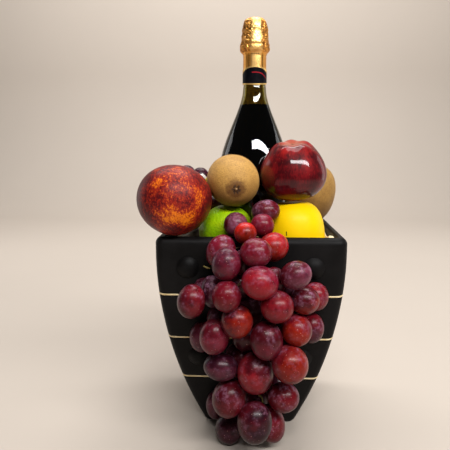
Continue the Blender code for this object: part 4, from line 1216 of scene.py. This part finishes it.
def hairs(name, count, length, seed):
    """Short hairs: three-sided spikes rooted under the skin, combed along the fruit and lifted a little."""
    fruit = FRUITS[name]
    draw = np.random.default_rng(seed)
    unit = scattered_unit(count, seed)
    root = fruit_skin(name, unit)
    out = unit_rows(root - np.array(fruit.centre))
    axis = fruit_turn(fruit.turn)[:, 2]
    comb = axis - out * (out @ axis)[:, None] + draw.normal(scale=0.35, size=root.shape)
    way = unit_rows(comb * 0.75 + out * draw.uniform(0.35, 0.9, count)[:, None])
    aside = unit_rows(np.cross(way, out))
    other = np.cross(way, aside)
    foot = root - out * HAIR_ROOT
    corners = [foot + HAIR_THICK * (aside * math.cos(angle) + other * math.sin(angle))
               for angle in (0.0, 2.1, 4.2)]
    tip = root + way * (length * draw.uniform(0.6, 1.15, count))[:, None]
    points = np.stack([*corners, tip], axis=1).reshape(-1, 3)
    faces = np.array([(0, 1, 3), (1, 2, 3), (2, 0, 3), (0, 2, 1)])
    return points, repeated([faces], count, 4)


def make_kiwifruit(name, settings, shade, seed):
    """A kiwifruit: full oval skin, short hair all over, and dry sepals round a nub at its eye."""
    fruit = FRUITS[name]
    grid = (72, 96)
    unit = globe(*grid)
    points = fruit_skin(name, unit, 0.006)
    turn = fruit_turn(fruit.turn)
    tip = np.array(fruit.centre) + turn[:, 2] * fruit.size[2] / 2
    from_eye = np.linalg.norm(points - tip, axis=1)
    rise = 0.0012 * np.exp(-(from_eye / 0.0035) ** 2) + 0.0004 * np.exp(-((from_eye - 0.0085) / 0.002) ** 2)
    points = points - turn[:, 2] * rise[:, None]
    # Painted shade: under rises from 0 to 1 down the lower part of the fruit.
    under = np.clip((fruit.centre[2] + 0.003 - points[:, 2]) / 0.022, 0, 1)
    put_skin(name, "_skin", points, grid, kiwi_finish(name, settings, shade),
             {"from_eye": from_eye, "lines": unit * (1, 1, 0.35), "under": under})
    hair = hairs(name, HAIR_COUNT, settings.hair, seed)
    put_piece(name + "_hair", *hair, kiwi_hair_finish(name + "_hair", settings, shade), slot=name)
    make_kiwi_eye(name, tip, turn, seed)


def make_kiwi_eye(name, tip, turn, seed):
    """The eye: narrow curled sepals in a rough ring, and a short blunt nub in the middle."""
    draw = np.random.default_rng(seed)
    shapes, nubs = [], []
    ball, faces = globe(8, 10), globe_faces(8, 10)
    for number in range(22):
        angle = number * 2.4 + draw.uniform(-0.3, 0.3)
        reach_out = 0.0018 + 0.0026 * draw.uniform(0.2, 1.0)
        size = np.array((0.0013 * draw.uniform(0.7, 1.3), 0.00045, 0.00035 * draw.uniform(0.8, 1.6)))
        spin = np.array(Matrix.Rotation(angle, 3, "Z") @ Matrix.Rotation(-draw.uniform(0.1, 0.7), 3, "Y"))
        middle = np.array((reach_out * math.cos(angle), reach_out * math.sin(angle), -0.0006))
        shapes.append(((ball * size) @ spin.T + middle, faces))
        nubs.append(np.zeros(len(ball)))
    nub = ball * (0.0015, 0.0013, 0.0018) * (1 + 0.10 * waves(ball, 1.1, seed)[:, None])
    shapes.append((nub + (0, 0.0004, -0.0002), faces))
    nubs.append(np.ones(len(ball)))
    points, all_faces = joined(shapes)
    points = points @ turn.T + tip
    put_piece(name + "_eye", points, all_faces, kiwi_eye_finish(), marks={"nub": np.concatenate(nubs)},
              slot=name)


def make_lime(settings):
    """The lime: an oval with pointed ends and shallow dents."""
    grid = (80, 110)
    points = fruit_skin("green_citrus", globe(*grid), 0.010)
    put_skin("green_citrus", "_rind", points, grid, lime_finish(settings))


def make_red_fruit(settings):
    """The red fruit: a tapered globe, lobed at its narrow upper end, with a dried tuft in the hollow."""
    fruit = FRUITS["red_pome"]
    grid = (100, 130)
    unit = globe(*grid)
    points = fruit_skin("red_pome", unit, 0.006)
    around = np.arctan2(unit[:, 1], unit[:, 0])
    rise = -unit[:, 2]
    lines = np.stack([np.cos(around), np.sin(around), rise * 0.5], axis=-1)
    put_skin("red_pome", "_skin", points, grid, red_finish(settings), {"lines": lines, "height": rise})
    turn = fruit_turn(fruit.turn)
    centre = np.array(fruit.centre)
    tuft_base = centre - turn[:, 2] * (1 - fruit.form.base_dimple - 0.10) * fruit.size[2] / 2
    shapes = []
    for number in range(5):
        angle = number * 2 * math.pi / 5 + 0.3
        out = turn @ np.array((math.cos(angle), math.sin(angle), 0.0))
        up = -turn[:, 2]
        path = tuft_base + np.stack([0 * out, out * 0.0012 + up * 0.0016, out * 0.0007 + up * 0.0034])
        shapes.append(tube(smooth_path(path, 4), np.linspace(0.0008, 0.0002, 9), 6))
    points, faces = joined(shapes)
    put_piece("red_pome_tuft", points, faces, kiwi_eye_finish(), marks={"nub": np.full(len(points), 0.3)},
              slot="red_pome")


def make_yellow_fruit(settings):
    """The yellow fruit: a blocky globe with a flat crown and one short dark line low on its front."""
    grid = (150, 200)
    points = fruit_skin("yellow_pome", globe(*grid), 0.004)
    depth = FRUITS["yellow_pome"].centre[1] - 0.030
    high, low = sight(286.5, 232.2, depth)[0], sight(286.6, 236.0, depth)[0]
    along = np.clip((high[2] - points[:, 2]) / (high[2] - low[2]), 0, 1)
    nearest = high + (low - high) * along[:, None]
    from_nick = np.hypot(points[:, 0] - nearest[:, 0], points[:, 2] - nearest[:, 2])
    from_nick += 0.01 * (points[:, 1] > depth + 0.02)
    put_skin("yellow_pome", "_skin", points, grid, yellow_finish(settings), {"from_nick": from_nick})


# ---- grapes

def sight_axes():
    """The front view's ahead, right and up directions."""
    tilt = math.atan((VIEW_MIDDLE - VIEW_HORIZON) / VIEW_FOCAL)
    swing = math.atan((VIEW_AHEAD - VIEW_MIDDLE) * math.cos(tilt) / VIEW_FOCAL)
    ahead = np.array((-math.sin(swing) * math.cos(tilt), math.cos(swing) * math.cos(tilt), -math.sin(tilt)))
    right = np.array((math.cos(swing), math.sin(swing), 0.0))
    return ahead, right, np.cross(right, ahead)


def sight(across, down, depth):
    """The point seen at (across, down) in the front view whose Y is depth, and metres a view unit."""
    ahead, right, up = sight_axes()
    ray = ahead * VIEW_FOCAL + right * (across - VIEW_MIDDLE) - up * (down - VIEW_MIDDLE)
    point = EYE + ray * ((depth - EYE[1]) / ray[1])
    return point, (point - EYE) @ ahead / VIEW_FOCAL


def fruit_ball(fruit):
    """A fruit as a plain ellipsoid round its fullest corners, for keeping grapes clear of it."""
    fullness = 2.0 ** (0.5 - 1.0 / fruit.form.square)
    return Ball(np.array(fruit.centre), np.array(fruit.size) / 2 * fullness, fruit_turn(fruit.turn))


def grape_ball(grape, depth):
    """A grape as a ball with its middle at a depth."""
    centre, unit = sight(grape.across, grape.down, depth)
    size = np.array((grape.wide, min(grape.wide, grape.tall), grape.tall)) * unit / 2
    return Ball(centre, size, np.array(Matrix.Rotation(math.radians(grape.lean), 3, "Y")))


def clear_of(ball, others, touch):
    """Whether a ball is at least touch times their reaches away from each of the others."""
    if not others:
        return True
    centres, sizes, turns = (np.array([getattr(other, part) for other in others]) for part in Ball._fields)
    between = centres - ball.centre
    apart = np.linalg.norm(between, axis=1)
    way = between / apart[:, None]
    own = 1 / np.linalg.norm((way @ ball.turn) / ball.size, axis=1)
    theirs = 1 / np.linalg.norm(np.einsum("ni,nij->nj", way, turns) / sizes, axis=1)
    return bool(np.all(apart >= touch * (own + theirs)))


def wall_outline():
    """Points (y, z) down the front wall: up its inside, over the rim and down its outside."""
    heights = np.arange(0, int(POT_HEIGHT * 1000), 4) / 1000
    outside = np.stack([-pot_half(heights), heights], axis=-1)
    inner = heights[heights > FILL_LEVEL - 0.02]
    inside = np.stack([-pot_inner_half(inner), inner], axis=-1)
    rim = [(-POT_HALF + 0.0045, POT_HEIGHT), (-POT_HALF + 0.0030, POT_HEIGHT - 0.0005),
           (-POT_HALF + 0.0070, POT_HEIGHT), (-POT_HALF, POT_HEIGHT - 0.0045)]
    return np.vstack([outside, rim, inside])


def settle(grapes, start, swell, placed, solid, wall):
    """Slide each grape along its sight line towards the eye until it is clear of all that is there."""
    for grape in grapes:
        depth = start if start is not None else -POT_HALF + 0.03
        while True:
            ball = grape_ball(grape, depth)
            radius = max(ball.size[0], ball.size[1]) * swell
            from_wall = np.hypot(ball.centre[1] - wall[:, 0], ball.centre[2] - wall[:, 1])
            hang = 1 / np.linalg.norm(ball.turn[2] / ball.size)
            clear = np.all(from_wall > radius + SNUG) and ball.centre[2] - hang * swell > SNUG
            clear = clear and (start is not None or ball.centre[1] < -pot_half(ball.centre[2]))
            if clear and clear_of(ball, solid, swell) and clear_of(ball, placed, TOUCH):
                break
            depth -= SLIDE
        placed.append(ball)


def bunch_balls():
    """All the hanging bunch's grapes in place, hidden ones first."""
    solid = [fruit_ball(fruit) for fruit in FRUITS.values()]
    for across, height in STUD_ROWS.values():
        for side in (-1, 1):
            centre = np.array((side * across, -float(pot_half(height)), height))
            solid.append(Ball(centre, np.array((STUD_RADIUS, STUD_RISE, STUD_RADIUS)), np.eye(3)))
    wall, placed = wall_outline(), []
    settle(HIDDEN_GRAPES, None, HIDDEN_SWELL, placed, solid, wall)
    settle(RIM_GRAPES, -0.060, GRAPE_SWELL, placed, solid, wall)
    settle(FRONT_GRAPES, None, GRAPE_SWELL, placed, solid, wall)
    return placed


def heap_balls():
    """Small grapes set on the core along a spiral from the top down, each where it finds room."""
    solid = [fruit_ball(fruit) for fruit in FRUITS.values()]
    balls = [Ball(sight(*place)[0], np.full(3, HEAP_GRAPE), np.eye(3)) for place in HEAP_SHOWN]
    for number, unit in enumerate(spiral(HEAP_TRIES)):
        centre = HEAP_MIDDLE + unit * HEAP_CORE
        radius = HEAP_GRAPE * (1.0 + 0.06 * math.sin(7.3 * number))
        ball = Ball(centre, np.full(3, radius), np.eye(3))
        over_rim = centre[2] > POT_HEIGHT + radius + SNUG
        inside = abs(centre[0]) + radius * GRAPE_SWELL + SNUG < pot_inner_half(POT_HEIGHT)
        clear = centre[2] > HEAP_LOWEST + radius and (over_rim or inside)
        from_bottle = math.hypot(centre[0] - BOTTLE_X, centre[1] - BOTTLE_Y)
        clear = clear and from_bottle > BODY_RADIUS + radius * GRAPE_SWELL + SNUG
        if clear and clear_of(ball, solid, 1.04) and clear_of(ball, balls, 0.97):
            balls.append(ball)
    return balls


def grape_surface(balls, rows, columns, seed):
    """All the grapes at once: globes scaled to each ball, a little uneven, narrower to the stem end."""
    unit = globe(rows, columns)
    centres, sizes, turns = (np.array([getattr(ball, part) for ball in balls]) for part in Ball._fields)
    apart = np.repeat(centres, len(unit), axis=0) * 400
    uneven = 1 + 0.010 * waves(apart + np.tile(unit, (len(balls), 1)), 2.2, seed)
    stem_end = 1 - 0.035 * unit[:, 2] - 0.05 * np.exp(-((1 - unit[:, 2]) / 0.012))
    local = unit[None] * sizes[:, None] * stem_end[None, :, None] * uneven.reshape(len(balls), -1, 1)
    local[..., 2] -= (sizes[:, 2] * 0.02)[:, None]
    points = np.einsum("nij,npj->npi", turns, local) + centres[:, None]
    return points.reshape(-1, 3), repeated(globe_faces(rows, columns), len(balls), len(unit)), unit


def make_front_grapes(settings):
    """The hanging bunch: every grape's skin with its tone, its glow and its bloom, and their stalks."""
    grapes = [*HIDDEN_GRAPES, *RIM_GRAPES, *FRONT_GRAPES]
    balls = bunch_balls()
    points, faces, unit = grape_surface(balls, 30, 40, 41)
    each = len(unit)
    draw = np.random.default_rng(17)
    tone = np.repeat([TONES[grape.skin] for grape in grapes], each, axis=0)
    glow = np.repeat([TONES[grape.glow] for grape in grapes], each, axis=0)
    tone_spread_and_shade = np.repeat(draw.uniform(0.85, 1.15, (len(grapes), 1)), each, axis=0)
    # Painted light: lit is high on the side of each grape that faces a random way near the lower front, where
    # the glow is painted.
    sides = unit_rows(draw.normal(size=(len(grapes), 3)) * (0.5, 0.25, 0.35) + (0.15, -0.35, -0.55))
    direction = unit_rows(points - np.repeat([ball.centre for ball in balls], each, axis=0))
    lit = 0.5 + 0.5 * np.einsum("ij,ij->i", direction, np.repeat(sides, each, axis=0))
    lit = lit + 0.22 * waves(points, 0.016, 9)
    dusty = np.repeat(draw.uniform(0.25, 1.0, len(grapes)), each)
    # Painted sheen: the bloom is laid thicker on the top of each grape, where light from above falls.
    dusty = dusty * np.clip(0.55 + 0.6 * direction[:, 2], 0.1, 1.0)
    from_stem = np.full(len(points), 1.0)
    for number, grape in enumerate(grapes):
        shown = STEM_ENDS.get((grape.across, grape.down))
        if shown:
            own = slice(number * each, (number + 1) * each)
            spot = sight(*shown, balls[number].centre[1] - balls[number].size[1] * 0.9)[0]
            from_stem[own] = np.linalg.norm(points[own] - spot, axis=1)
    # Painted shade: each grape's tone is made darker on its lower side and a little lighter on top.
    tone_spread_and_shade = tone_spread_and_shade * np.clip(0.92 + 0.30 * direction[:, 2:], 0.55, 1.12)
    marks = {"tone": tone * tone_spread_and_shade, "glow": glow * tone_spread_and_shade, "lit": lit, "dusty": dusty, "from_stem": from_stem}
    put_piece("front_grape_skins", points, faces, grape_finish("grape_red", settings), marks=marks,
              replaces=("front_grapes",), slot="grape_red")
    make_stalks("front_grape_stalks", balls, STALK, settings, "grape_red")


def make_stalks(name, balls, spine, settings, slot):
    """The stalk along its points, a thinner one from it into the back of each grape, and those that show."""
    path = smooth_path(spine, 6)
    radii = STALK_RADIUS * (1 + 0.14 * waves(path, 0.02, 31)) * np.linspace(1.15, 0.7, len(path))
    shapes = [tube(path, radii, 12)]
    for ball in balls:
        start = spine[np.argmin(np.linalg.norm(spine - ball.centre, axis=1))]
        way = start - ball.centre
        end = ball.centre + way / np.linalg.norm(way) * ball.size.min() * 0.8
        middle = (start + end) / 2 + (0.0, 0.001, 0.002)
        curve = smooth_path(np.stack([start, middle, end]), 4)
        shapes.append(tube(curve, PEDICEL_RADIUS * np.linspace(1.1, 1.0, len(curve)), 8))
    for *places, depth in SHOWN_STALKS:
        curve = smooth_path(np.stack([sight(*place, depth)[0] for place in places]), 6)
        shapes.append(tube(curve, PEDICEL_RADIUS * (1 + 0.25 * waves(curve, 0.004, 7)), 8))
    points, faces = joined(shapes)
    last = sum(len(part) for part, _ in shapes[-len(SHOWN_STALKS):])
    shown = np.arange(len(points)) >= len(points) - last
    put_piece(name, points, faces, stem_finish(settings), marks={"shown": shown.astype(float)}, slot=slot)


def make_back_grapes(settings):
    """The heap of small dark grapes over a core that fills the middle."""
    core = Ball(HEAP_MIDDLE, HEAP_CORE, np.eye(3))
    balls = heap_balls()
    points, faces, unit = grape_surface([core, *balls], 26, 34, 43)
    each = len(unit)
    draw = np.random.default_rng(5)
    # Each small grape's own random darkness of tone.
    shade = np.repeat(draw.uniform(0.7, 1.6, (len(balls) + 1, 1)), each, axis=0)
    dark = np.tile(np.array(settings.dark), (len(points), 1)) * shade
    dusty = np.repeat(draw.uniform(0.1, 0.7, len(balls) + 1), each)
    # Painted light: the small grapes get a faint glow from a wavy lit mark.
    marks = {"tone": dark, "glow": dark * (2.4, 1.6, 1.6), "lit": 0.45 + 0.3 * waves(points, 0.012, 3),
             "dusty": dusty, "from_stem": np.full(len(points), 1.0)}
    put_piece("back_grape_skins", points, faces, grape_finish("grape_dark", settings, 0.6), marks=marks,
              replaces=("back_grapes",), slot="grape_dark")


# ---- paper

def make_filling(settings):
    """Crumpled paper: rings from under the wall in to the middle, lifted in folds and pressed under fruit."""
    heights = np.array((WALL + GAP, 0.040, 0.080, 0.125, 0.170, FILL_LEVEL - 0.002))
    half = pot_inner_half(heights) - SNUG
    side = square_rings(half, np.full(6, INNER_CORNER_RADIUS), heights, side_steps=FILL_SIDE_STEPS)
    side[-1, :, 2] += paper_heap(side[-1])
    shares = np.linspace(0.99, 0.02, FILL_RINGS)
    top = square_rings(half[-1] * shares, INNER_CORNER_RADIUS * shares, np.full(FILL_RINGS, FILL_LEVEL),
                       side_steps=FILL_SIDE_STEPS)
    flat = top.reshape(-1, 3)
    crumple = crumple_height(flat)
    # fold is 1 on the crumple's ridges and 0 in its valleys, where the paper is painted darker as shade.
    fold = np.clip(crumple / FILL_RISE, 0, 1)
    flat[:, 2] = pressed(flat[:, :2], FILL_LEVEL + paper_heap(flat) + crumple)
    rings = np.concatenate([side, flat.reshape(top.shape)])[::-1]
    points = np.vstack([[(0.0, 0.0, flat[-1, 2])], rings.reshape(-1, 3), [(0.0, 0.0, WALL + GAP)]])
    fold = fold.reshape(FILL_RINGS, -1)[::-1].ravel()
    fold = np.concatenate([[0.5], fold, np.zeros(side.shape[0] * side.shape[1] + 1)])
    # Painted shade: deep is high where the paper lies low and in the gap seen at the front left, between the
    # nectarine, the lime and the rim.
    deep = np.clip((FILL_LEVEL + 0.0015 - points[:, 2]) / 0.005, 0, 1)
    near, far = sight(190.0, 233.0, -0.080)[0], sight(190.0, 233.0, 0.03)[0]
    share = np.clip((points - near) @ (far - near) / ((far - near) @ (far - near)), 0, 1)[:, None]
    gap = np.linalg.norm((points - near - share * (far - near))[:, :2], axis=1)
    deep = np.maximum(deep, np.exp(-(gap / 0.024) ** 4))
    put_piece("paper_crumple", points, globe_faces(*rings.shape[:2]), paper_finish(settings),
              marks={"fold": fold, "deep": deep}, replaces=("paper_filling",), slot="cream_paper", sharp=24)


def make_paper_tip():
    """A crumpled tip of paper beyond the nectarine: an uneven flat oval, white, yellow low on its right."""
    grid = (24, 32)
    unit = globe(*grid)
    rough = 1 + 0.16 * waves(unit, 0.9, 4)[:, None] + 0.08 * waves(unit, 0.45, 5)[:, None]
    turn = np.array(Matrix.Rotation(math.radians(48), 3, "Y"))
    points = (unit * rough * (0.0062, 0.0022, 0.0030)) @ turn.T + sight(204.6, 178.8, -0.034)[0]
    finish = Finish("paper_tip", (0.86, 0.83, 0.80), roughness=0.5)
    finish.lay(finish.ease("along", -0.1, 0.25), (0.85, 0.62, 0.01))
    finish.lay(finish.mottle(0.0015), (0.40, 0.26, 0.10), 0.4)
    put_piece("paper_tip", points, globe_faces(*grid), finish.done(), marks={"along": unit[:, 0]},
              slot="cream_paper")


def paper_heap(places):
    """How far the paper is heaped up at the front right and sunk between the left fruit: bell curves."""
    return sum(rise * np.exp(-((places[:, 0] - x) ** 2 + (places[:, 1] - y) ** 2) / spread ** 2)
               for rise, (x, y), spread in FILL_HEAPS)


def pressed(across, height):
    """The paper's height, kept under the bottle's base and under the lower half of each fruit."""
    from_bottle = np.hypot(across[:, 0] - BOTTLE_X, across[:, 1] - BOTTLE_Y)
    height = np.where(from_bottle < BODY_RADIUS + 0.0008, BOTTLE_BASE - GAP, height)
    for fruit in FRUITS.values():
        ball = fruit_ball(fruit)
        shape = ball.turn @ np.diag(ball.size ** 2) @ ball.turn.T
        inverse = np.linalg.inv(shape)
        offset = across - ball.centre[:2]
        lean = (offset @ inverse[:2, 2]) / inverse[2, 2]
        flat = np.einsum("ij,jk,ik->i", offset, inverse[:2, :2], offset)
        left = (1 - flat) / inverse[2, 2] + lean ** 2
        lower = ball.centre[2] - lean - np.sqrt(np.maximum(left, 0.0))
        height = np.where(left > 0, np.minimum(height, lower - GAP), height)
    return height


def crumple_height(places):
    """Facets of crumpled paper: ridges where slow waves pass through zero, on three scales."""
    ridge = sum(weight * (1 - np.abs(waves(places, length, seed)))
                for length, seed, weight in ((0.052, 61, 0.50), (0.027, 62, 0.32), (0.013, 63, 0.18)))
    return FILL_RISE * np.clip((ridge - 0.25) / 0.75, 0, 1)


# ---- floor, light and camera

def make_floor(settings):
    """The floor and backdrop in one sheet: flat, then up on a quarter circle, swept from side to side."""
    bend, back, reach_front, half_wide, high = 0.7, 1.5, -2.6, 3.4, 3.0
    angles = np.radians(np.linspace(0, 90, 24))
    curve = np.stack([back + bend * np.sin(angles), bend * (1 - np.cos(angles))], axis=-1)
    profile = np.vstack([np.stack([np.linspace(reach_front, back, 20)[:-1], np.zeros(19)], axis=-1), curve,
                         [(back + bend, high)]])
    across = np.linspace(-half_wide, half_wide, 24)
    points = np.stack(np.broadcast_arrays(across[None, :], profile[:, :1], profile[:, 1:]), axis=-1)
    rows, columns = points.shape[:2]
    here = (np.arange(rows - 1)[:, None] * columns + np.arange(columns - 1)).ravel()
    faces = np.stack([here, here + 1, here + columns + 1, here + columns], axis=-1)
    mesh = bpy.data.meshes.new("floor_sweep")
    mesh.from_pydata(points.reshape(-1, 3).tolist(), [], faces.tolist())
    mesh.shade_smooth()
    mesh.materials.append(floor_finish(settings))
    floor = bpy.data.objects.new("floor_sweep", mesh)
    bpy.context.scene.collection.objects.link(floor)


def add_light(name, power, place, aim, size, roll):
    """A rectangular soft white light at a place, facing its aim and rolled by degrees about that line."""
    light = bpy.data.lights.new(name, "AREA")
    light.shape = "RECTANGLE"
    light.size, light.size_y = size
    light.energy = power
    lamp = bpy.data.objects.new(name, light)
    ahead = np.array(aim) - np.array(place)
    lamp.location = place
    turn = Euler(facing(ahead)).to_matrix() @ Matrix.Rotation(math.radians(roll), 3, "Z")
    lamp.rotation_euler = turn.to_euler()
    bpy.context.scene.collection.objects.link(lamp)


def facing(ahead):
    """Euler angles that point -Z along a direction, with X kept level."""
    flat = math.hypot(ahead[0], ahead[1])
    return (math.atan2(flat, -ahead[2]), 0.0, math.atan2(-ahead[0], ahead[1]))


def add_camera():
    """A camera whose frame is the front view."""
    camera = bpy.data.cameras.new("front_view")
    camera.sensor_width = SENSOR
    camera.lens = SENSOR * VIEW_FOCAL / VIEW_SIDE
    camera.clip_start = 0.02
    holder = bpy.data.objects.new("front_view", camera)
    holder.location = EYE
    holder.rotation_euler = facing(sight_axes()[0])
    bpy.context.scene.collection.objects.link(holder)
    bpy.context.scene.camera = holder


def light_the_room(settings):
    """Faint warm light from all round, and colours shown as they are."""
    world = bpy.data.worlds.new("studio")
    world.use_nodes = True
    back = world.node_tree.nodes["Background"]
    back.inputs["Color"].default_value = (1.0, 0.97, 0.94, 1.0)
    back.inputs["Strength"].default_value = settings.fill
    bpy.context.scene.world = world
    bpy.context.scene.view_settings.view_transform = "Standard"


# ---- operators

class ArrangementOperator(bpy.types.Operator):
    """Base for the operators that build one group of pieces."""
    bl_options = {"REGISTER", "UNDO"}


class ARRANGEMENT_OT_pot(ArrangementOperator):
    """Build the pot with its studs and the lines round it"""
    bl_idname = "arrangement.pot"
    bl_label = "Pot"

    def execute(self, context):
        settings = context.scene.arrangement_pot
        make_pot(settings)
        make_lines(settings)
        make_studs(settings)
        return {"FINISHED"}


class ARRANGEMENT_OT_filling(ArrangementOperator):
    """Build the crumpled paper that fills the pot"""
    bl_idname = "arrangement.filling"
    bl_label = "Paper filling"

    def execute(self, context):
        make_filling(context.scene.arrangement_pot)
        make_paper_tip()
        return {"FINISHED"}


class ARRANGEMENT_OT_bottle(ArrangementOperator):
    """Build the bottle's glass and the wine in it"""
    bl_idname = "arrangement.bottle"
    bl_label = "Bottle and wine"

    def execute(self, context):
        settings = context.scene.arrangement_bottle
        make_glass(settings)
        make_wine(settings)
        return {"FINISHED"}


class ARRANGEMENT_OT_foil(ArrangementOperator):
    """Build the creased foil cap and the neck label"""
    bl_idname = "arrangement.foil"
    bl_label = "Foil and label"

    def execute(self, context):
        settings = context.scene.arrangement_bottle
        make_foil(settings)
        make_label(settings)
        return {"FINISHED"}


class ARRANGEMENT_OT_nectarine(ArrangementOperator):
    """Build the nectarine"""
    bl_idname = "arrangement.nectarine"
    bl_label = "Nectarine"

    def execute(self, context):
        make_nectarine(context.scene.arrangement_fruit)
        return {"FINISHED"}


class ARRANGEMENT_OT_kiwifruit(ArrangementOperator):
    """Build both kiwifruit with their hair and eyes"""
    bl_idname = "arrangement.kiwifruit"
    bl_label = "Kiwifruit"

    def execute(self, context):
        settings = context.scene.arrangement_fruit
        make_kiwifruit("kiwifruit_front", settings, 1.0, 71)
        # Painted shade: the back kiwifruit's skin and hair colours are darkened to 0.72.
        make_kiwifruit("kiwifruit_back", settings, 0.72, 72)
        return {"FINISHED"}


class ARRANGEMENT_OT_lime(ArrangementOperator):
    """Build the lime"""
    bl_idname = "arrangement.lime"
    bl_label = "Lime"

    def execute(self, context):
        make_lime(context.scene.arrangement_fruit)
        return {"FINISHED"}


class ARRANGEMENT_OT_red_fruit(ArrangementOperator):
    """Build the glossy red fruit with its tuft"""
    bl_idname = "arrangement.red_fruit"
    bl_label = "Red fruit"

    def execute(self, context):
        make_red_fruit(context.scene.arrangement_fruit)
        return {"FINISHED"}


class ARRANGEMENT_OT_yellow_fruit(ArrangementOperator):
    """Build the yellow fruit"""
    bl_idname = "arrangement.yellow_fruit"
    bl_label = "Yellow fruit"

    def execute(self, context):
        make_yellow_fruit(context.scene.arrangement_fruit)
        return {"FINISHED"}


class ARRANGEMENT_OT_front_grapes(ArrangementOperator):
    """Build the hanging bunch of grapes with its stalks"""
    bl_idname = "arrangement.front_grapes"
    bl_label = "Hanging grapes"

    def execute(self, context):
        make_front_grapes(context.scene.arrangement_grapes)
        return {"FINISHED"}


class ARRANGEMENT_OT_back_grapes(ArrangementOperator):
    """Build the heap of small dark grapes"""
    bl_idname = "arrangement.back_grapes"
    bl_label = "Small dark grapes"

    def execute(self, context):
        make_back_grapes(context.scene.arrangement_grapes)
        return {"FINISHED"}


class ARRANGEMENT_OT_stage(ArrangementOperator):
    """Build the floor, the lights and the camera"""
    bl_idname = "arrangement.stage"
    bl_label = "Stage"

    def execute(self, context):
        settings = context.scene.arrangement_stage
        make_floor(settings)
        light_the_room(settings)
        for name, (power, *lie) in LIGHTS.items():
            add_light(name, getattr(settings, power), *lie)
        add_camera()
        return {"FINISHED"}


class ARRANGEMENT_PT_panel(bpy.types.Panel):
    """Lists the operators and the settings."""
    bl_label = "Fruit arrangement"
    bl_idname = "ARRANGEMENT_PT_panel"
    bl_space_type = "VIEW_3D"
    bl_region_type = "UI"
    bl_category = "Arrangement"

    def draw(self, context):
        for operator in OPERATORS:
            self.layout.operator(operator.bl_idname)
        for name, group in SETTINGS.items():
            box = self.layout.box()
            for label in group.__annotations__:
                box.prop(getattr(context.scene, name), label)


SETTINGS = {
    "arrangement_pot": PotSettings,
    "arrangement_bottle": BottleSettings,
    "arrangement_fruit": FruitSettings,
    "arrangement_grapes": GrapeSettings,
    "arrangement_stage": StageSettings,
}
OPERATORS = (
    ARRANGEMENT_OT_pot, ARRANGEMENT_OT_filling, ARRANGEMENT_OT_bottle, ARRANGEMENT_OT_foil,
    ARRANGEMENT_OT_nectarine, ARRANGEMENT_OT_kiwifruit, ARRANGEMENT_OT_lime, ARRANGEMENT_OT_red_fruit,
    ARRANGEMENT_OT_yellow_fruit, ARRANGEMENT_OT_front_grapes, ARRANGEMENT_OT_back_grapes,
    ARRANGEMENT_OT_stage,
)
CLASSES = (*SETTINGS.values(), *OPERATORS, ARRANGEMENT_PT_panel)


def register():
    """Add the operators, the panel and the settings."""
    for each in CLASSES:
        bpy.utils.register_class(each)
    for name, group in SETTINGS.items():
        setattr(bpy.types.Scene, name, bpy.props.PointerProperty(type=group))


def unregister():
    """Take them away again."""
    for name in SETTINGS:
        delattr(bpy.types.Scene, name)
    for each in reversed(CLASSES):
        bpy.utils.unregister_class(each)


def main():
    """Build everything."""
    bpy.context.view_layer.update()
    register()
    for operator in OPERATORS:
        group, name = operator.bl_idname.split(".")
        getattr(getattr(bpy.ops, group), name)()


if __name__ == "__main__":
    main()
